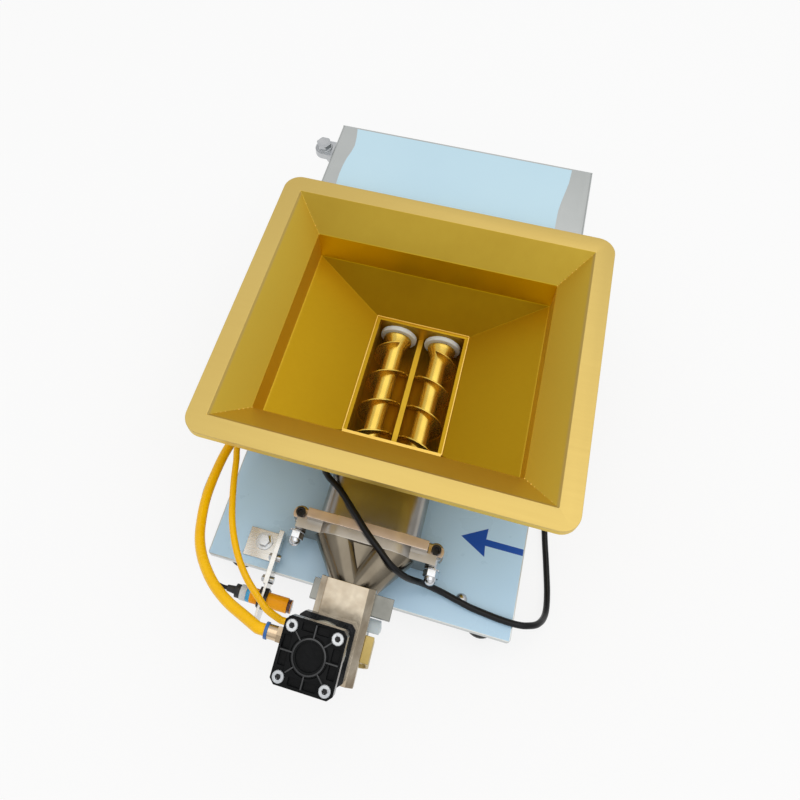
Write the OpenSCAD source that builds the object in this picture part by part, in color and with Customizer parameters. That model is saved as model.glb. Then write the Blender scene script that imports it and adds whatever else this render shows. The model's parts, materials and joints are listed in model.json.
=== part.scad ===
// Table-top dough divider: twin feed screws under a funnel hopper, a nozzle, and an air-driven knife.
// Millimetres. +Z is up, -Y is the outlet side, the floor is Z = 0, the middle of the machine is X = Y = 0.

/* [Base] */
// Width of the base tray
base_w = 390; // [376:1:430]
// Height of the tray's top above the floor
base_top_z = 50; // [46:1:52]
// Front edge of the tray
base_front_y = -234; // [-240:1:-228]
// Sheet thickness of the tray
tray_t = 2; // [1.5:0.5:3]
// Depth of the tray's folded rim
tray_rim_h = 10; // [8:1:14]
// Diameter of a rubber foot at the floor
foot_d = 40; // [34:1:44]

/* [Rear housing] */
// Width of the rear housing
housing_w = 366; // [340:1:372]
// Height of the housing's top above the floor
housing_top_z = 235; // [215:1:236]
// Front wall of the housing
housing_front_y = 205; // [203:1:209]
// Open rear edge of the housing
housing_back_y = 360.5; // [350.5:1:366.5]
// Sheet thickness of the housing and its cover
sheet_t = 1.5; // [1:0.5:2]

/* [Hopper] */
// Height of the hopper's rim above the floor
rim_z = 250; // [244:1:262]
// Width inside the rim
rim_w = 400; // [390:1:408]
// Depth inside the rim
rim_d = 341; // [335:1:348]
// Middle of the rim, front to back
rim_y = 44; // [42:1:46]
// Width of the flat lip
lip_w = 24; // [18:1:28]
// Depth of the lip's turned-down edge
lip_fold_h = 12; // [8:1:14]
// Corner radius of the lip
lip_corner_r = 22; // [14:1:26]
// Height of the sloping upper walls
slope_h = 36; // [32:1:38]
// Height of the upright band below them
band_h = 50; // [44:1:54]
// Half width at the crease
crease_x = 163; // [158:1:166]
// Wall thickness of the hopper
hopper_t = 1.5; // [1:0.5:2]
// Half width of the feed opening
throat_x = 65.5; // [64.5:0.5:70]
// Front edge of the feed opening
throat_front_y = -53; // [-57:1:-49]
// Rear edge of the feed opening
throat_back_y = 125; // [123:1:127]

/* [Feed screws] */
// Height of the screws' axes above the floor
axis_z = 88; // [87:0.5:90]
// Distance between the screws' axes
screw_gap = 64; // [63.5:0.1:64.5]
// Outer diameter of the flights
flight_d = 54; // [50:0.5:55]
// Diameter of the screw's core
core_d = 26; // [22:1:30]
// Pitch of the flights
flight_pitch = 45; // [40:1:50]
// Flight thickness at its root
flight_root_t = 4.6; // [3:0.2:6]
// Flight thickness at its edge
flight_edge_t = 2.4; // [2:0.2:3]
// Diameter of the drive shafts
shaft_d = 20; // [18:1:20]
// Running clearance of a shaft in its bearing, on the radius
run_fit = 0.04; // [0.02:0.01:0.08]

/* [Barrel] */
// Bore of the barrel round each screw
bore_d = 57; // [56:0.5:59]
// Wall of the barrel
barrel_wall = 3.5; // [3:0.5:4.5]
// Front end of the barrel's flange
flange_front_y = -173; // [-175:1:-171]
// Thickness of each flange
flange_t = 12; // [10:1:12]
// Half width of the barrel's flange
flange_x = 76; // [74:1:76]
// Half distance between the swing bolts
clamp_x = 86; // [86:0.5:90]
// Diameter of the swing bolts
clamp_d = 10; // [8:1:11]

/* [Outlet and knife] */
// Diameter of the dough outlet
outlet_d = 36; // [30:1:36]
// Lean of the knife from upright, top towards the front
lean = 13; // [12:0.5:14]
// Stroke of the knife
stroke = 40; // [34:1:40]
// Width of the knife
knife_w = 50; // [44:1:50]
// Bore of the air cylinder
cyl_bore = 50; // [46:1:50]
// Width of the cylinder's square end caps
cap_w = 64; // [62:1:66]
// Spacing of the tie rods
tie_gap = 47; // [47:0.5:48]
// Sheet thickness of the cutter bracket
bracket_t = 3; // [2:0.5:3]

/* [Sensor] */
// Thread diameter of the photo sensor
sensor_d = 18; // [16:1:18]
// Length of the sensor's barrel
sensor_len = 66; // [60:1:70]
// Height of the sensor's axis
sensor_z = 60; // [58:1:62]

/* [Gears] */
// Teeth of each synchronising gear
gear_teeth = 32; // [32:1:32]
// Width of the gears
gear_w = 18; // [12:1:20]

/* [Hoses and cables] */
// Diameter of the thick air hose
thick_d = 12; // [10:1:12]
// Diameter of the thin air hose
thin_d = 8; // [6:1:8]
// Diameter of the power cord
cord_d = 8; // [7:0.5:8]
// Diameter of the sensor's cable
cable_d = 5; // [4:0.5:5.5]

/* [Hidden] */

$fn = 48;
seat = 0.3;
half_gap = screw_gap / 2;
bore_r = bore_d / 2;
shell_r = bore_r + barrel_wall;
shaft_r = shaft_d / 2;
shaft_bore_r = shaft_r + run_fit;

// Places along the machine, front to back
barrel_gap = 7;
barrel_back_y = throat_front_y - barrel_gap;
trough_wall_y = throat_back_y - 4;
trough_back_y = throat_back_y + 3;
seal_t = 9;
nozzle_flange_front_y = flange_front_y - flange_t;
block_back_y = nozzle_flange_front_y - 52;
block_t = 24;
block_front_y = block_back_y - block_t;
gear_front_y = housing_front_y + 5;
reducer_front_y = gear_front_y + gear_w + 12;
reducer_w = 78;

// Heights of the hopper
crease_z = rim_z - slope_h;
band_z = crease_z - band_h;
throat_z = axis_z + shell_r - 3;
throat_flange_t = 4;
crease_front_y = rim_y - 135;
crease_back_y = rim_y + 131;

// The knife's own frame: its axis is the cylinder's, leaning by "lean", through this point
knife_x = -12;
knife_y = -297.6;
plate_top = 40;
bottom_cap_h = 22;
top_cap_h = 20;
tube_h = stroke + 31;
cap_base = plate_top + bottom_cap_h;
cap_top = cap_base + tube_h + top_cap_h;
tube_t = 3;
guide_face = 23;
knife_t = 3;
knife_run = 0.2;
holder_top = plate_top - bracket_t - 5;
holder_h = 9;
knife_bottom = 15.5;
rod_r = 8;
piston_h = 10;
piston_top = cap_base + tube_h - seat;

top_port_y = 10;
top_port_drop = 14;
fitting_top_l = 19;
low_port_y = 14;
low_port_drop = 10;
fitting_low_l = 12;
function in_knife(x, y, w) =
    [knife_x + x, knife_y + y * cos(lean) - w * sin(lean), axis_z + y * sin(lean) + w * cos(lean)];
module knife_frame() { translate([knife_x, knife_y, axis_z]) rotate([lean, 0, 0]) children(); }

// A box given by its two far corners
module span(a, b) { translate(a) cube([b[0] - a[0], b[1] - a[1], b[2] - a[2]]); }

// A flat plate with rounded corners, from z0 upwards
module round_plate(w, d, h, r) {
    translate([-w / 2 + r, -d / 2, 0]) cube([w - 2 * r, d, h]);
    translate([-w / 2, -d / 2 + r, 0]) cube([w, d - 2 * r, h]);
    for (x = [-1, 1], y = [-1, 1]) translate([x * (w / 2 - r), y * (d / 2 - r), 0]) cylinder(r = r, h = h);
}

// A straight-sided frustum between two rectangles given as [x0, x1, y0, y1] at two heights
module funnel(low, z_low, high, z_high) {
    polyhedron(
        points = [[low[0], low[2], z_low], [low[1], low[2], z_low], [low[1], low[3], z_low],
            [low[0], low[3], z_low], [high[0], high[2], z_high], [high[1], high[2], z_high],
            [high[1], high[3], z_high], [high[0], high[3], z_high]],
        faces = [[0, 1, 2, 3], [7, 6, 5, 4], [0, 4, 5, 1], [1, 5, 6, 2], [2, 6, 7, 3], [3, 7, 4, 0]]);
}
function grow(r, t) = [r[0] - t, r[1] + t, r[2] - t, r[3] + t];

// A rod along the Y axis between two places
module y_rod(x, z, y0, y1, r) { translate([x, y1, z]) rotate([90, 0, 0]) cylinder(r = r, h = y1 - y0); }
module y_cone(x, z, y0, y1, r0, r1) {
    translate([x, y1, z]) rotate([90, 0, 0]) cylinder(r1 = r1, r2 = r0, h = y1 - y0);
}
module x_rod(y, z, x0, x1, r) { translate([x0, y, z]) rotate([0, 90, 0]) cylinder(r = r, h = x1 - x0); }
module y_hex(x, z, y0, y1, af) {
    translate([x, y1, z]) rotate([90, 0, 0]) cylinder(d = af / cos(30), h = y1 - y0, $fn = 6);
}

// Smooth points through a hand-chosen route, "n" to each step
function spline_point(a, b, c, d, t) = 0.5 * ((2 * b) + (c - a) * t + (2 * a - 5 * b + 4 * c - d) * t * t
    + (3 * b - a - 3 * c + d) * t * t * t);
function smooth(p, n) = let (last = len(p) - 1) concat([for (i = [0 : last - 1], k = [0 : n - 1])
    spline_point(p[max(i - 1, 0)], p[i], p[i + 1], p[min(i + 2, last)], k / n)], [p[last]]);
function unit(v) = v / norm(v);
function heading(p, i) = unit(p[min(i + 1, len(p) - 1)] - p[max(i - 1, 0)]);
// Side directions carried along the path, so that the tube doesn't twist
function next_side(side, dir) = unit(side - (side * dir) * dir);
function sides(p, i = 0, side = [0, 0, 1], out = []) = i >= len(p) ? out :
    let (s = next_side(side, heading(p, i))) sides(p, i + 1, s, concat(out, [s]));

// A tube of "n" sides swept along points, with its first heading across "up"
module tube(p, r, n = 8, up = [0, 0, 1]) {
    s = sides(p, 0, up);
    rings = [for (i = [0 : len(p) - 1]) let (h = heading(p, i), a = s[i], b = cross(h, a))
        for (k = [0 : n - 1]) p[i] + r * (cos(360 * k / n) * a + sin(360 * k / n) * b)];
    walls = [for (i = [0 : len(p) - 2], k = [0 : n - 1]) let (a = i * n + k, b = i * n + (k + 1) % n)
        each [[a, b + n, b], [a, a + n, b + n]]];
    polyhedron(points = rings, faces = concat(walls, [[for (k = [0 : n - 1]) k]],
        [[for (k = [n - 1 : -1 : 0]) (len(p) - 1) * n + k]]));
}

// The power cord: gland, along the base, over the barrel and flange, off the right edge, to the coil
gland_x = -100;
gland_z = 84;
coil_x = 120;
coil_y = 429;
coil_turns = 3;
coil_pitch = cord_d + 0.8;
coil_r = 52;
cord_route = [[-100, 179, 84], [-100, 171, 84], [-100, 150, 81.5], [-98, 119, 70], [-95, 84, 59],
    [-92, 49, 54.2], [-90, 9, 54.2], [-86, -26, 57], [-83, -56, 69], [-81, -82, 87], [-77, -101, 104],
    [-66, -117, 118], [-45, -132, 124.5], [-22, -152.5, 125.5], [0, -172.5, 125.5],
    [20, -188.2, 124.5], [39, -201.3, 118], [58, -205, 99], [79, -201, 74], [102, -201.5, 60.5],
    [115, -203.8, 58.3], [127, -206.1, 57.5], [139, -208.3, 55.6], [151, -209.6, 54.3],
    [177, -212, 54.4], [199, -212.3, 54.3], [213, -209, 50], [226, -201, 39], [235, -184, 20],
    [236, -157, 6.5], [230, -121, 4.2], [222, -81, 4.2], [214, -31, 4.2], [209, 29, 4.2],
    [207, 99, 4.2], [206, 169, 4.2], [205, 239, 4.2], [201, 299, 4.2], [192, 349, 4.2],
    [182, 385, 4.2], [174.5, 404, 4.2], [172, 413, 4.2], [172, 421, 4.2]];
coil_tail = 32;
plug_y = coil_y + coil_tail;

// The solenoid valve's block and ports, and the air hoses and cable that end there
valve_x0 = -194;
valve_x1 = -124;
valve_y0 = -71;
valve_y1 = -45;
valve_mid_y = (valve_y0 + valve_y1) / 2;
valve_top_z = 88;
valve_port_z = 74;
thick_port_x = -181;
thin_port_x = -159;
port_l = 10;
thick_start = in_knife(-cap_w / 2 - fitting_top_l, top_port_y, cap_top - top_port_drop);
thin_start = in_knife(-cap_w / 2 - fitting_low_l, low_port_y, cap_base - low_port_drop);
thick_end = [thick_port_x, valve_mid_y, valve_top_z + port_l];
thin_end = [thin_port_x, valve_mid_y, valve_top_z + port_l];
thick_route = [[-91.5, -311, 216], [-113.5, -302, 206], [-135, -289.5, 195], [-153, -274.5, 184],
    [-168.5, -257.5, 173], [-180, -239.5, 163], [-188.5, -219, 153], [-195.5, -193.5, 144],
    [-199, -167, 136], [-200, -138.5, 129], [-198.5, -115.5, 124], [-193, -88, 121],
    [-184.5, -66, 116]];
thin_route = [[-80.5, -291, 151], [-91.5, -283.5, 153], [-111.5, -268, 156], [-128.5, -250, 156],
    [-142.5, -230, 154], [-154, -208.5, 151], [-163, -185.5, 148], [-171, -161, 145],
    [-178, -136, 142], [-183.5, -119, 140], [-184, -100, 138], [-178, -80, 132], [-167, -65, 122],
    [-160.5, -59, 112]];
cable_route = [[-153, -268, 60], [-161, -268, 60], [-173.5, -265, 68], [-184, -253.5, 80],
    [-195, -235, 94], [-204.5, -209, 104], [-210.5, -182, 108], [-211.5, -158.5, 108],
    [-210.5, -136.5, 105], [-209.5, -113, 98], [-207, -90, 77], [-202, -66, 57], [-197, -42, 52.9],
    [-188, -8, 52.7], [-172, 39, 53], [-160, 89, 53.7], [-156, 134, 62], [-155, 165, 78],
    [-155, 178, 84], [-155, 187, 84]];

// Base
feet_x = 160;
feet_front_y = -211;
feet_back_y = 322;
foot_screw_r = 3.9;
foot_hole_r = 4.2;
dome_x = 129;
dome_front_y = -201;
dome_back_y = 89;
under_top_z = base_top_z - tray_t;
tray_back_y = housing_back_y + sheet_t;
module at_feet() {
    for (x = [-feet_x, feet_x], y = [feet_front_y, feet_back_y]) translate([x, y, 0]) children();
}
module at_domes() {
    for (p = [[dome_x, dome_front_y], [-dome_x, dome_back_y], [dome_x, dome_back_y]])
        translate([p[0], p[1], 0]) children();
}

module base_tray() color("lightsteelblue") {
    tray_d = tray_back_y - base_front_y;
    translate([0, (tray_back_y + base_front_y) / 2, 0]) difference() {
        translate([0, 0, base_top_z - tray_rim_h]) round_plate(base_w, tray_d, tray_rim_h, 4);
        translate([0, 0, base_top_z - tray_rim_h - 1])
            round_plate(base_w - 2 * tray_t, tray_d - 2 * tray_t, tray_rim_h + 1 - tray_t, 2);
        translate([0, -(tray_back_y + base_front_y) / 2, 0]) {
            at_feet() cylinder(r = foot_hole_r, h = base_top_z + 1);
            at_domes() cylinder(r = foot_hole_r, h = base_top_z + 1);
            translate([-dome_x, dome_front_y, 0]) cylinder(r = foot_hole_r, h = base_top_z + 1);
        }
    }
}

module rubber_feet() color("#1a1a1a") at_feet() difference() {
    rotate_extrude() polygon([[0, 0], [foot_d / 2 - 1, 0], [foot_d / 2, 1.5], [foot_d / 2, 8],
        [foot_d / 2 - 3, 12], [foot_d / 2 - 4, under_top_z], [0, under_top_z]]);
    translate([0, 0, -1]) cylinder(d = 16, h = 13);
    cylinder(r = foot_hole_r, h = under_top_z + 1);
}

module base_screws() color("silver") {
    at_feet() {
        translate([0, 0, 7.5]) cylinder(r = 6.5, h = 4.5);
        cylinder_between(foot_screw_r, 12, base_top_z - 0.3);
    }
    at_domes() {
        translate([0, 0, base_top_z]) intersection() {
            translate([0, 0, -4.4]) sphere(r = 8.4);
            cylinder(r = 7, h = 5);
        }
        cylinder_between(foot_screw_r, base_top_z - 8, base_top_z);
    }
}
module cylinder_between(r, z0, z1) { translate([0, 0, z0]) cylinder(r = r, h = z1 - z0); }

// Rear housing
half_housing = housing_w / 2;
shaft_hole_r = shaft_r + 3;
gland_hole_r = 6;
cable_gland_x = -155;
panel_y = 262;
knob_z = 160;
button_z = 110;
spindle_r = 3;
button_r = 9;
return_w = 14;
screw_inset = 7;
module housing_profile(inset) {
    w = half_housing - inset;
    top = housing_top_z - inset;
    r = max(4 - inset, 0.5);
    translate([-w, base_top_z]) square([2 * w, top - r - base_top_z]);
    translate([-w + r, base_top_z]) square([2 * (w - r), top - base_top_z]);
    for (x = [-w + r, w - r]) translate([x, top - r]) circle(r = r);
}
module along_y(y0, y1) { translate([0, y1, 0]) rotate([90, 0, 0]) linear_extrude(y1 - y0) children(); }
module at_cover_screws() {
    for (x = [-1, 0, 1], z = [base_top_z + screw_inset, housing_top_z - screw_inset])
        translate([x * (half_housing - screw_inset), 0, z]) children();
}

module rear_housing() color("silver") difference() {
    along_y(housing_front_y, housing_back_y) housing_profile(0);
    difference() {
        along_y(housing_front_y + sheet_t, housing_back_y - sheet_t) housing_profile(sheet_t);
        // Feet turned in along both sides, standing on the tray
        for (s = [-1, 1]) span([min(s * half_housing, s * (half_housing - return_w)), housing_front_y, 0],
            [max(s * half_housing, s * (half_housing - return_w)), housing_back_y, base_top_z + sheet_t]);
    }
    // Opening of the back, inside its turned-in edge
    span([-half_housing + return_w, housing_back_y - 5, base_top_z + return_w],
        [half_housing - return_w, housing_back_y + 1, housing_top_z - return_w]);
    for (s = [-1, 1]) y_rod(s * half_gap, axis_z, housing_front_y - 1, housing_front_y + 5, shaft_hole_r);
    y_rod(gland_x, gland_z, housing_front_y - 1, housing_front_y + 5, gland_hole_r);
    y_rod(cable_gland_x, gland_z, housing_front_y - 1, housing_front_y + 5, gland_hole_r);
    x_rod(panel_y, knob_z, half_housing - 5, half_housing + 1, spindle_r + run_fit);
    x_rod(panel_y, button_z, half_housing - 5, half_housing + 1, button_r + run_fit);
    at_cover_screws() y_rod(0, 0, housing_back_y - 5, housing_back_y + 1, 2.1);
}

module rear_cover() color("silver") difference() {
    span([-half_housing + 0.5, housing_back_y, base_top_z + 0.5],
        [half_housing - 0.5, housing_back_y + sheet_t, housing_top_z - 0.5]);
    at_cover_screws() y_rod(0, 0, housing_back_y - 1, housing_back_y + 5, 2.1);
    // Cooling slots
    for (x = [-110, 110], row = [0 : 6]) translate([x, 0, 110 + 12 * row]) {
        span([-32, housing_back_y - 1, -2], [32, housing_back_y + 5, 2]);
        for (s = [-32, 32]) y_rod(s, 0, housing_back_y - 1, housing_back_y + 5, 2);
    }
}

module cover_screws() color("gainsboro") at_cover_screws() {
    y_rod(0, 0, housing_back_y + sheet_t, housing_back_y + sheet_t + 1.2, 4);
    y_rod(0, 0, housing_back_y - sheet_t, housing_back_y + sheet_t, 1.9);
}

// A lug on the housing's left side with an upright hexagon bolt
lug_y = 323;
lug_x = -half_housing - 17;
lug_top_z = housing_top_z - 12;
module side_lug() color("darkgray") {
    difference() {
        union() {
            translate([lug_x, lug_y, lug_top_z - 10]) cylinder(r = 14, h = 10);
            span([lug_x, lug_y - 14, lug_top_z - 10], [-half_housing, lug_y + 14, lug_top_z]);
            span([-half_housing - 4, lug_y - 14, lug_top_z - 46], [-half_housing, lug_y + 14, lug_top_z]);
            // Gusset
            translate([0, lug_y + 3, 0]) rotate([90, 0, 0]) linear_extrude(6)
                polygon([[lug_x - 6, lug_top_z - 10], [-half_housing - 3, lug_top_z - 10],
                    [-half_housing - 3, lug_top_z - 44]]);
        }
        translate([lug_x - 1, lug_y, lug_top_z - 8]) cylinder(r = 5.6, h = 9);
    }
    translate([lug_x - 1, lug_y, lug_top_z]) {
        translate([0, 0, -7.5]) cylinder(r = 5.5, h = 8);
        difference() {
            cylinder(r = 12, h = 2.5);
            translate([0, 0, -1]) cylinder(r = 5.4, h = 1.4);
        }
        translate([0, 0, 2.5]) intersection() {
            cylinder(d = 19 / cos(30), h = 8, $fn = 6);
            cylinder(r1 = 14, r2 = 9.6, h = 9);
        }
    }
}

// Hopper
half_rim_w = rim_w / 2;
rim_rect = [-half_rim_w, half_rim_w, rim_y - rim_d / 2, rim_y + rim_d / 2];
crease_rect = [-crease_x, crease_x, crease_front_y, crease_back_y];
throat_rect = [-throat_x, throat_x, throat_front_y, throat_back_y];
slope_t = hopper_t * 1.4;
hopper_foot_t = 2;
hopper_foot_x = 76;
hopper_foot_w = barrel_gap - seat;
module hopper() color("goldenrod") difference() {
    union() {
        funnel(grow(crease_rect, hopper_t), crease_z, grow(rim_rect, slope_t), rim_z);
        funnel(grow(crease_rect, hopper_t), band_z, grow(crease_rect, hopper_t), crease_z);
        funnel(grow(throat_rect, slope_t), throat_z, grow(crease_rect, hopper_t), band_z);
        span([-hopper_foot_x, throat_front_y - hopper_foot_w, throat_z],
            [hopper_foot_x, trough_back_y - seat, throat_z + hopper_foot_t]);
        // Flat lip with its edge turned down
        translate([0, rim_y, rim_z - lip_fold_h]) difference() {
            round_plate(rim_w + 2 * lip_w, rim_d + 2 * lip_w, lip_fold_h, lip_corner_r);
            translate([0, 0, -hopper_t]) round_plate(rim_w + 2 * (lip_w - hopper_t),
                rim_d + 2 * (lip_w - hopper_t), lip_fold_h, lip_corner_r - hopper_t);
        }
    }
    funnel(crease_rect, crease_z, rim_rect, rim_z);
    funnel(rim_rect, rim_z, rim_rect, rim_z + 1);
    funnel(crease_rect, band_z, crease_rect, crease_z);
    funnel(throat_rect, throat_z, crease_rect, band_z);
    funnel(throat_rect, throat_z - 1, throat_rect, throat_z);
}

// Trough under the hopper, and the barrel with its flange
body_x = half_gap + shell_r;
ridge_drop = 4;
module stadium(y0, y1, r) {
    for (s = [-1, 1]) y_rod(s * half_gap, axis_z, y0, y1, r);
    span([-half_gap, y0, axis_z - r], [half_gap, y1, axis_z + r]);
}
module bores(y0, y1, r) { for (s = [-1, 1]) y_rod(s * half_gap, axis_z, y0, y1, r); }

module trough() color("goldenrod") difference() {
    union() {
        stadium(barrel_back_y, trough_back_y, shell_r);
        span([-body_x, barrel_back_y, axis_z], [body_x, trough_back_y, throat_z - 1]);
        span([-hopper_foot_x, barrel_back_y, throat_z - throat_flange_t],
            [hopper_foot_x, trough_back_y, throat_z]);
    }
    bores(barrel_back_y - 1, trough_wall_y, bore_r);
    bores(trough_wall_y - 1, trough_back_y + 1, shaft_r + 1);
    span([-half_gap - bore_r, throat_front_y, axis_z], [half_gap + bore_r, trough_wall_y, throat_z + 9]);
    span([-screw_gap / 4, throat_front_y, axis_z - ridge_drop],
        [screw_gap / 4, trough_wall_y, throat_z + 1]);
    // Flat top, for the hopper's foot
    span([-body_x, barrel_back_y - 1, throat_z], [body_x, trough_back_y + 1, throat_z + 9]);
}

lug_r = 10;
pin_y = flange_front_y + 6.3;
pin_r = 4;
lug_in = 6;
lug_out = 14;
module at_clamps() { for (s = [-1, 1]) translate([s * clamp_x, pin_y, axis_z]) children(); }
module barrel() color("rosybrown") difference() {
    union() {
        stadium(flange_front_y, barrel_back_y, shell_r);
        span([-flange_x, flange_front_y, axis_z - 26], [flange_x, flange_front_y + flange_t, axis_z + 31]);
        for (s = [-1, 1], z = [-lug_out, lug_in]) translate([s * clamp_x, pin_y, axis_z + z]) {
            cylinder(r = lug_r, h = lug_out - lug_in);
            span([min(0, -s * (clamp_x - 50)), -lug_r, 0],
                [max(0, -s * (clamp_x - 50)), lug_r - 2, lug_out - lug_in]);
        }
    }
    bores(flange_front_y - 1, barrel_back_y + 1, bore_r);
    at_clamps() translate([0, 0, -30]) cylinder(r = pin_r + 0.1, h = 60);
    // The lugs end flush with the flange
    span([-clamp_x - 20, flange_front_y - 20, 0], [clamp_x + 20, flange_front_y, 200]);
}

module support_saddles() color("silver") for (y = [-141, -1]) difference() {
    span([-half_gap - 16, y, base_top_z], [half_gap + 16, y + 20, axis_z - shell_r + 8]);
    stadium(y - 1, y + 21, shell_r + seat);
}

// Swing clamps
eye_r = 9;
eye_half_h = clamp_d / 2 + 0.2;
slot_half = clamp_d / 2 + 0.5;
washer_t = 2;
nut_y = nozzle_flange_front_y - seat - washer_t;
nut_hex_h = 8;
nut_dome_r = 7.4;
module flange_pins() color("#303030") at_clamps() {
    difference() {
        union() {
            translate([0, 0, -lug_out]) cylinder(r = pin_r, h = 2 * lug_out);
            translate([0, 0, lug_out]) cylinder(r = 6, h = 8);
        }
        translate([0, 0, lug_out + 4]) cylinder(d = 6 / cos(30), h = 5, $fn = 6);
    }
    translate([0, 0, -lug_out - 6.5]) difference() {
        cylinder(d = 11, h = 6.5, $fn = 6);
        cylinder(r = pin_r - 1, h = 3);
    }
}
module eye_bolt(s) color("silver") translate([s * clamp_x, 0, axis_z]) {
    difference() {
        union() {
            translate([0, pin_y, -eye_half_h]) cylinder(r = eye_r, h = 2 * eye_half_h);
            y_rod(0, 0, nut_y - 12, pin_y, clamp_d / 2);
        }
        translate([0, pin_y, -eye_half_h - 1]) cylinder(r = pin_r + run_fit, h = 2 * eye_half_h + 2);
    }
}
module left_eye_bolt() { eye_bolt(-1); }
module right_eye_bolt() { eye_bolt(1); }
// Acorn nut with its washer
module clamp_nut(s) color("gainsboro") translate([s * clamp_x, nut_y, axis_z]) {
    difference() {
        y_rod(0, 0, 0, washer_t, 10);
        y_rod(0, 0, -1, washer_t + 1, clamp_d / 2 + 0.3);
    }
    difference() {
        union() {
            y_hex(0, 0, -nut_hex_h, 0, 17);
            y_rod(0, 0, -nut_hex_h - 2, -nut_hex_h, nut_dome_r);
            translate([0, -nut_hex_h - 2, 0]) intersection() {
                sphere(r = nut_dome_r);
                span([-10, -10, -10], [10, 0.01, 10]);
            }
        }
        y_rod(0, 0, -12.5, 1, clamp_d / 2 + 0.05);
    }
}
module left_nut() { clamp_nut(-1); }
module right_nut() { clamp_nut(1); }

// Nozzle: a slotted flange and two cones that run into one another
nozzle_t = 3;
slot_in = eye_r + 0.5;
cone_end_x = 4;
module cone_pair(r_back, r_front, extra) {
    for (s = [-1, 1]) hull() {
        y_rod(s * half_gap, axis_z, nozzle_flange_front_y + extra, nozzle_flange_front_y + extra + 1, r_back,
            $fn = 32);
        y_rod(s * cone_end_x, axis_z, block_back_y - extra, block_back_y - extra + 0.5, r_front, $fn = 32);
    }
}
module nozzle() color("rosybrown") difference() {
    union() {
        span([-clamp_x - 2, nozzle_flange_front_y, axis_z - 24], [clamp_x + 2, flange_front_y, axis_z + 20]);
        stadium(nozzle_flange_front_y, flange_front_y, shell_r - 1);
        cone_pair(bore_r + nozzle_t, outlet_d / 2 + nozzle_t, 0);
    }
    bores(nozzle_flange_front_y - 0.2, flange_front_y + 1, bore_r);
    cone_pair(bore_r, outlet_d / 2, 0.1);
    for (s = [-1, 1]) {
        a = s * (clamp_x - slot_in);
        b = s * (clamp_x + 9);
        span([min(a, b), nozzle_flange_front_y - 1, axis_z - slot_half],
            [max(a, b), flange_front_y + 1, axis_z + slot_half]);
    }
}

// Outlet
block_x = 26;
shelf_z = axis_z + 26;
shelf_top = axis_z + 32;
module outlet_block() color("gray") difference() {
    union() {
        span([-block_x, block_front_y, axis_z - 26], [block_x, block_back_y, shelf_z]);
        span([-44, block_front_y, shelf_z], [52, block_back_y, shelf_top]);
    }
    y_rod(0, axis_z, block_front_y - 1, block_back_y + 1, outlet_d / 2);
}

// White guide block; the knife slides down its leaning front face between two cheeks
guide_x = 30;
module guide_block() color("lightcyan") difference() {
    span([-guide_x, block_front_y - 30, axis_z - 26], [guide_x + 13, block_front_y, axis_z + 20]);
    y_rod(0, axis_z, block_front_y - 31, block_front_y + 1, outlet_d / 2);
    // The leaning front face, and the knife's way between the cheeks
    knife_frame() {
        span([-80, -60, -60], [80, guide_face - 7, 60]);
        span([guide_x - knife_x, -60, -60], [80, guide_face + 2, 60]);
        span([-knife_x - knife_w / 2 - 0.3, -60, -60], [-knife_x + knife_w / 2 + 0.3, guide_face, 60]);
    }
}

// Sheet bracket with sloping shoulders: carries the cylinder and leans with it
plate_x0 = -15;
plate_x1 = 34;
plate_y0 = -33;
plate_y1 = 71;
shoulder = 8;
side_h = 22;
module cutter_bracket() color("antiquewhite") difference() {
    knife_frame() difference() {
        translate([0, plate_y1, 0]) rotate([90, 0, 0]) linear_extrude(plate_y1 - plate_y0) {
            difference() {
                bracket_profile(0);
                bracket_profile(bracket_t);
            }
        }
        cylinder(r = rod_r + 1, h = 99);
    }
    // The sides stand on the outlet block's shelf
    span([-99, block_front_y - 3, 0], [99, block_back_y + 40, shelf_top]);
}
module bracket_profile(inset) {
    k = inset * 0.414;
    low = plate_top - side_h - (inset > 0 ? 1 : 0);
    polygon([[plate_x0 + k, plate_top - inset], [plate_x1 - k, plate_top - inset],
        [plate_x1 + shoulder - inset, plate_top - shoulder - k], [plate_x1 + shoulder - inset, low],
        [plate_x0 - shoulder + inset, low], [plate_x0 - shoulder + inset, plate_top - shoulder - k]]);
}

// Curved chute that turns the cut dough down to the front
chute_x = knife_x + plate_x1 + shoulder;
chute_y0 = -310;
chute_y1 = -281;
chute_r = 34;
chute_t = 3;
chute_tab_z = axis_z + 28;
chute_x1 = chute_x + 10;
chute_bend_z = axis_z - 4;
module outlet_chute() color("darkkhaki") along_y(chute_y0, chute_y1) {
    translate([chute_x1 - chute_r, chute_bend_z]) intersection() {
        difference() {
            circle(r = chute_r);
            circle(r = chute_r - chute_t);
        }
        translate([0, -chute_r]) square(chute_r);
    }
    translate([chute_x1 - chute_t, chute_bend_z]) square([chute_t, chute_tab_z - chute_bend_z]);
    translate([chute_x, chute_tab_z - chute_t]) square([chute_x1 - chute_x, chute_t]);
    translate([chute_x, chute_tab_z - chute_t - 8]) square([chute_t, chute_t + 8]);
}

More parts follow.
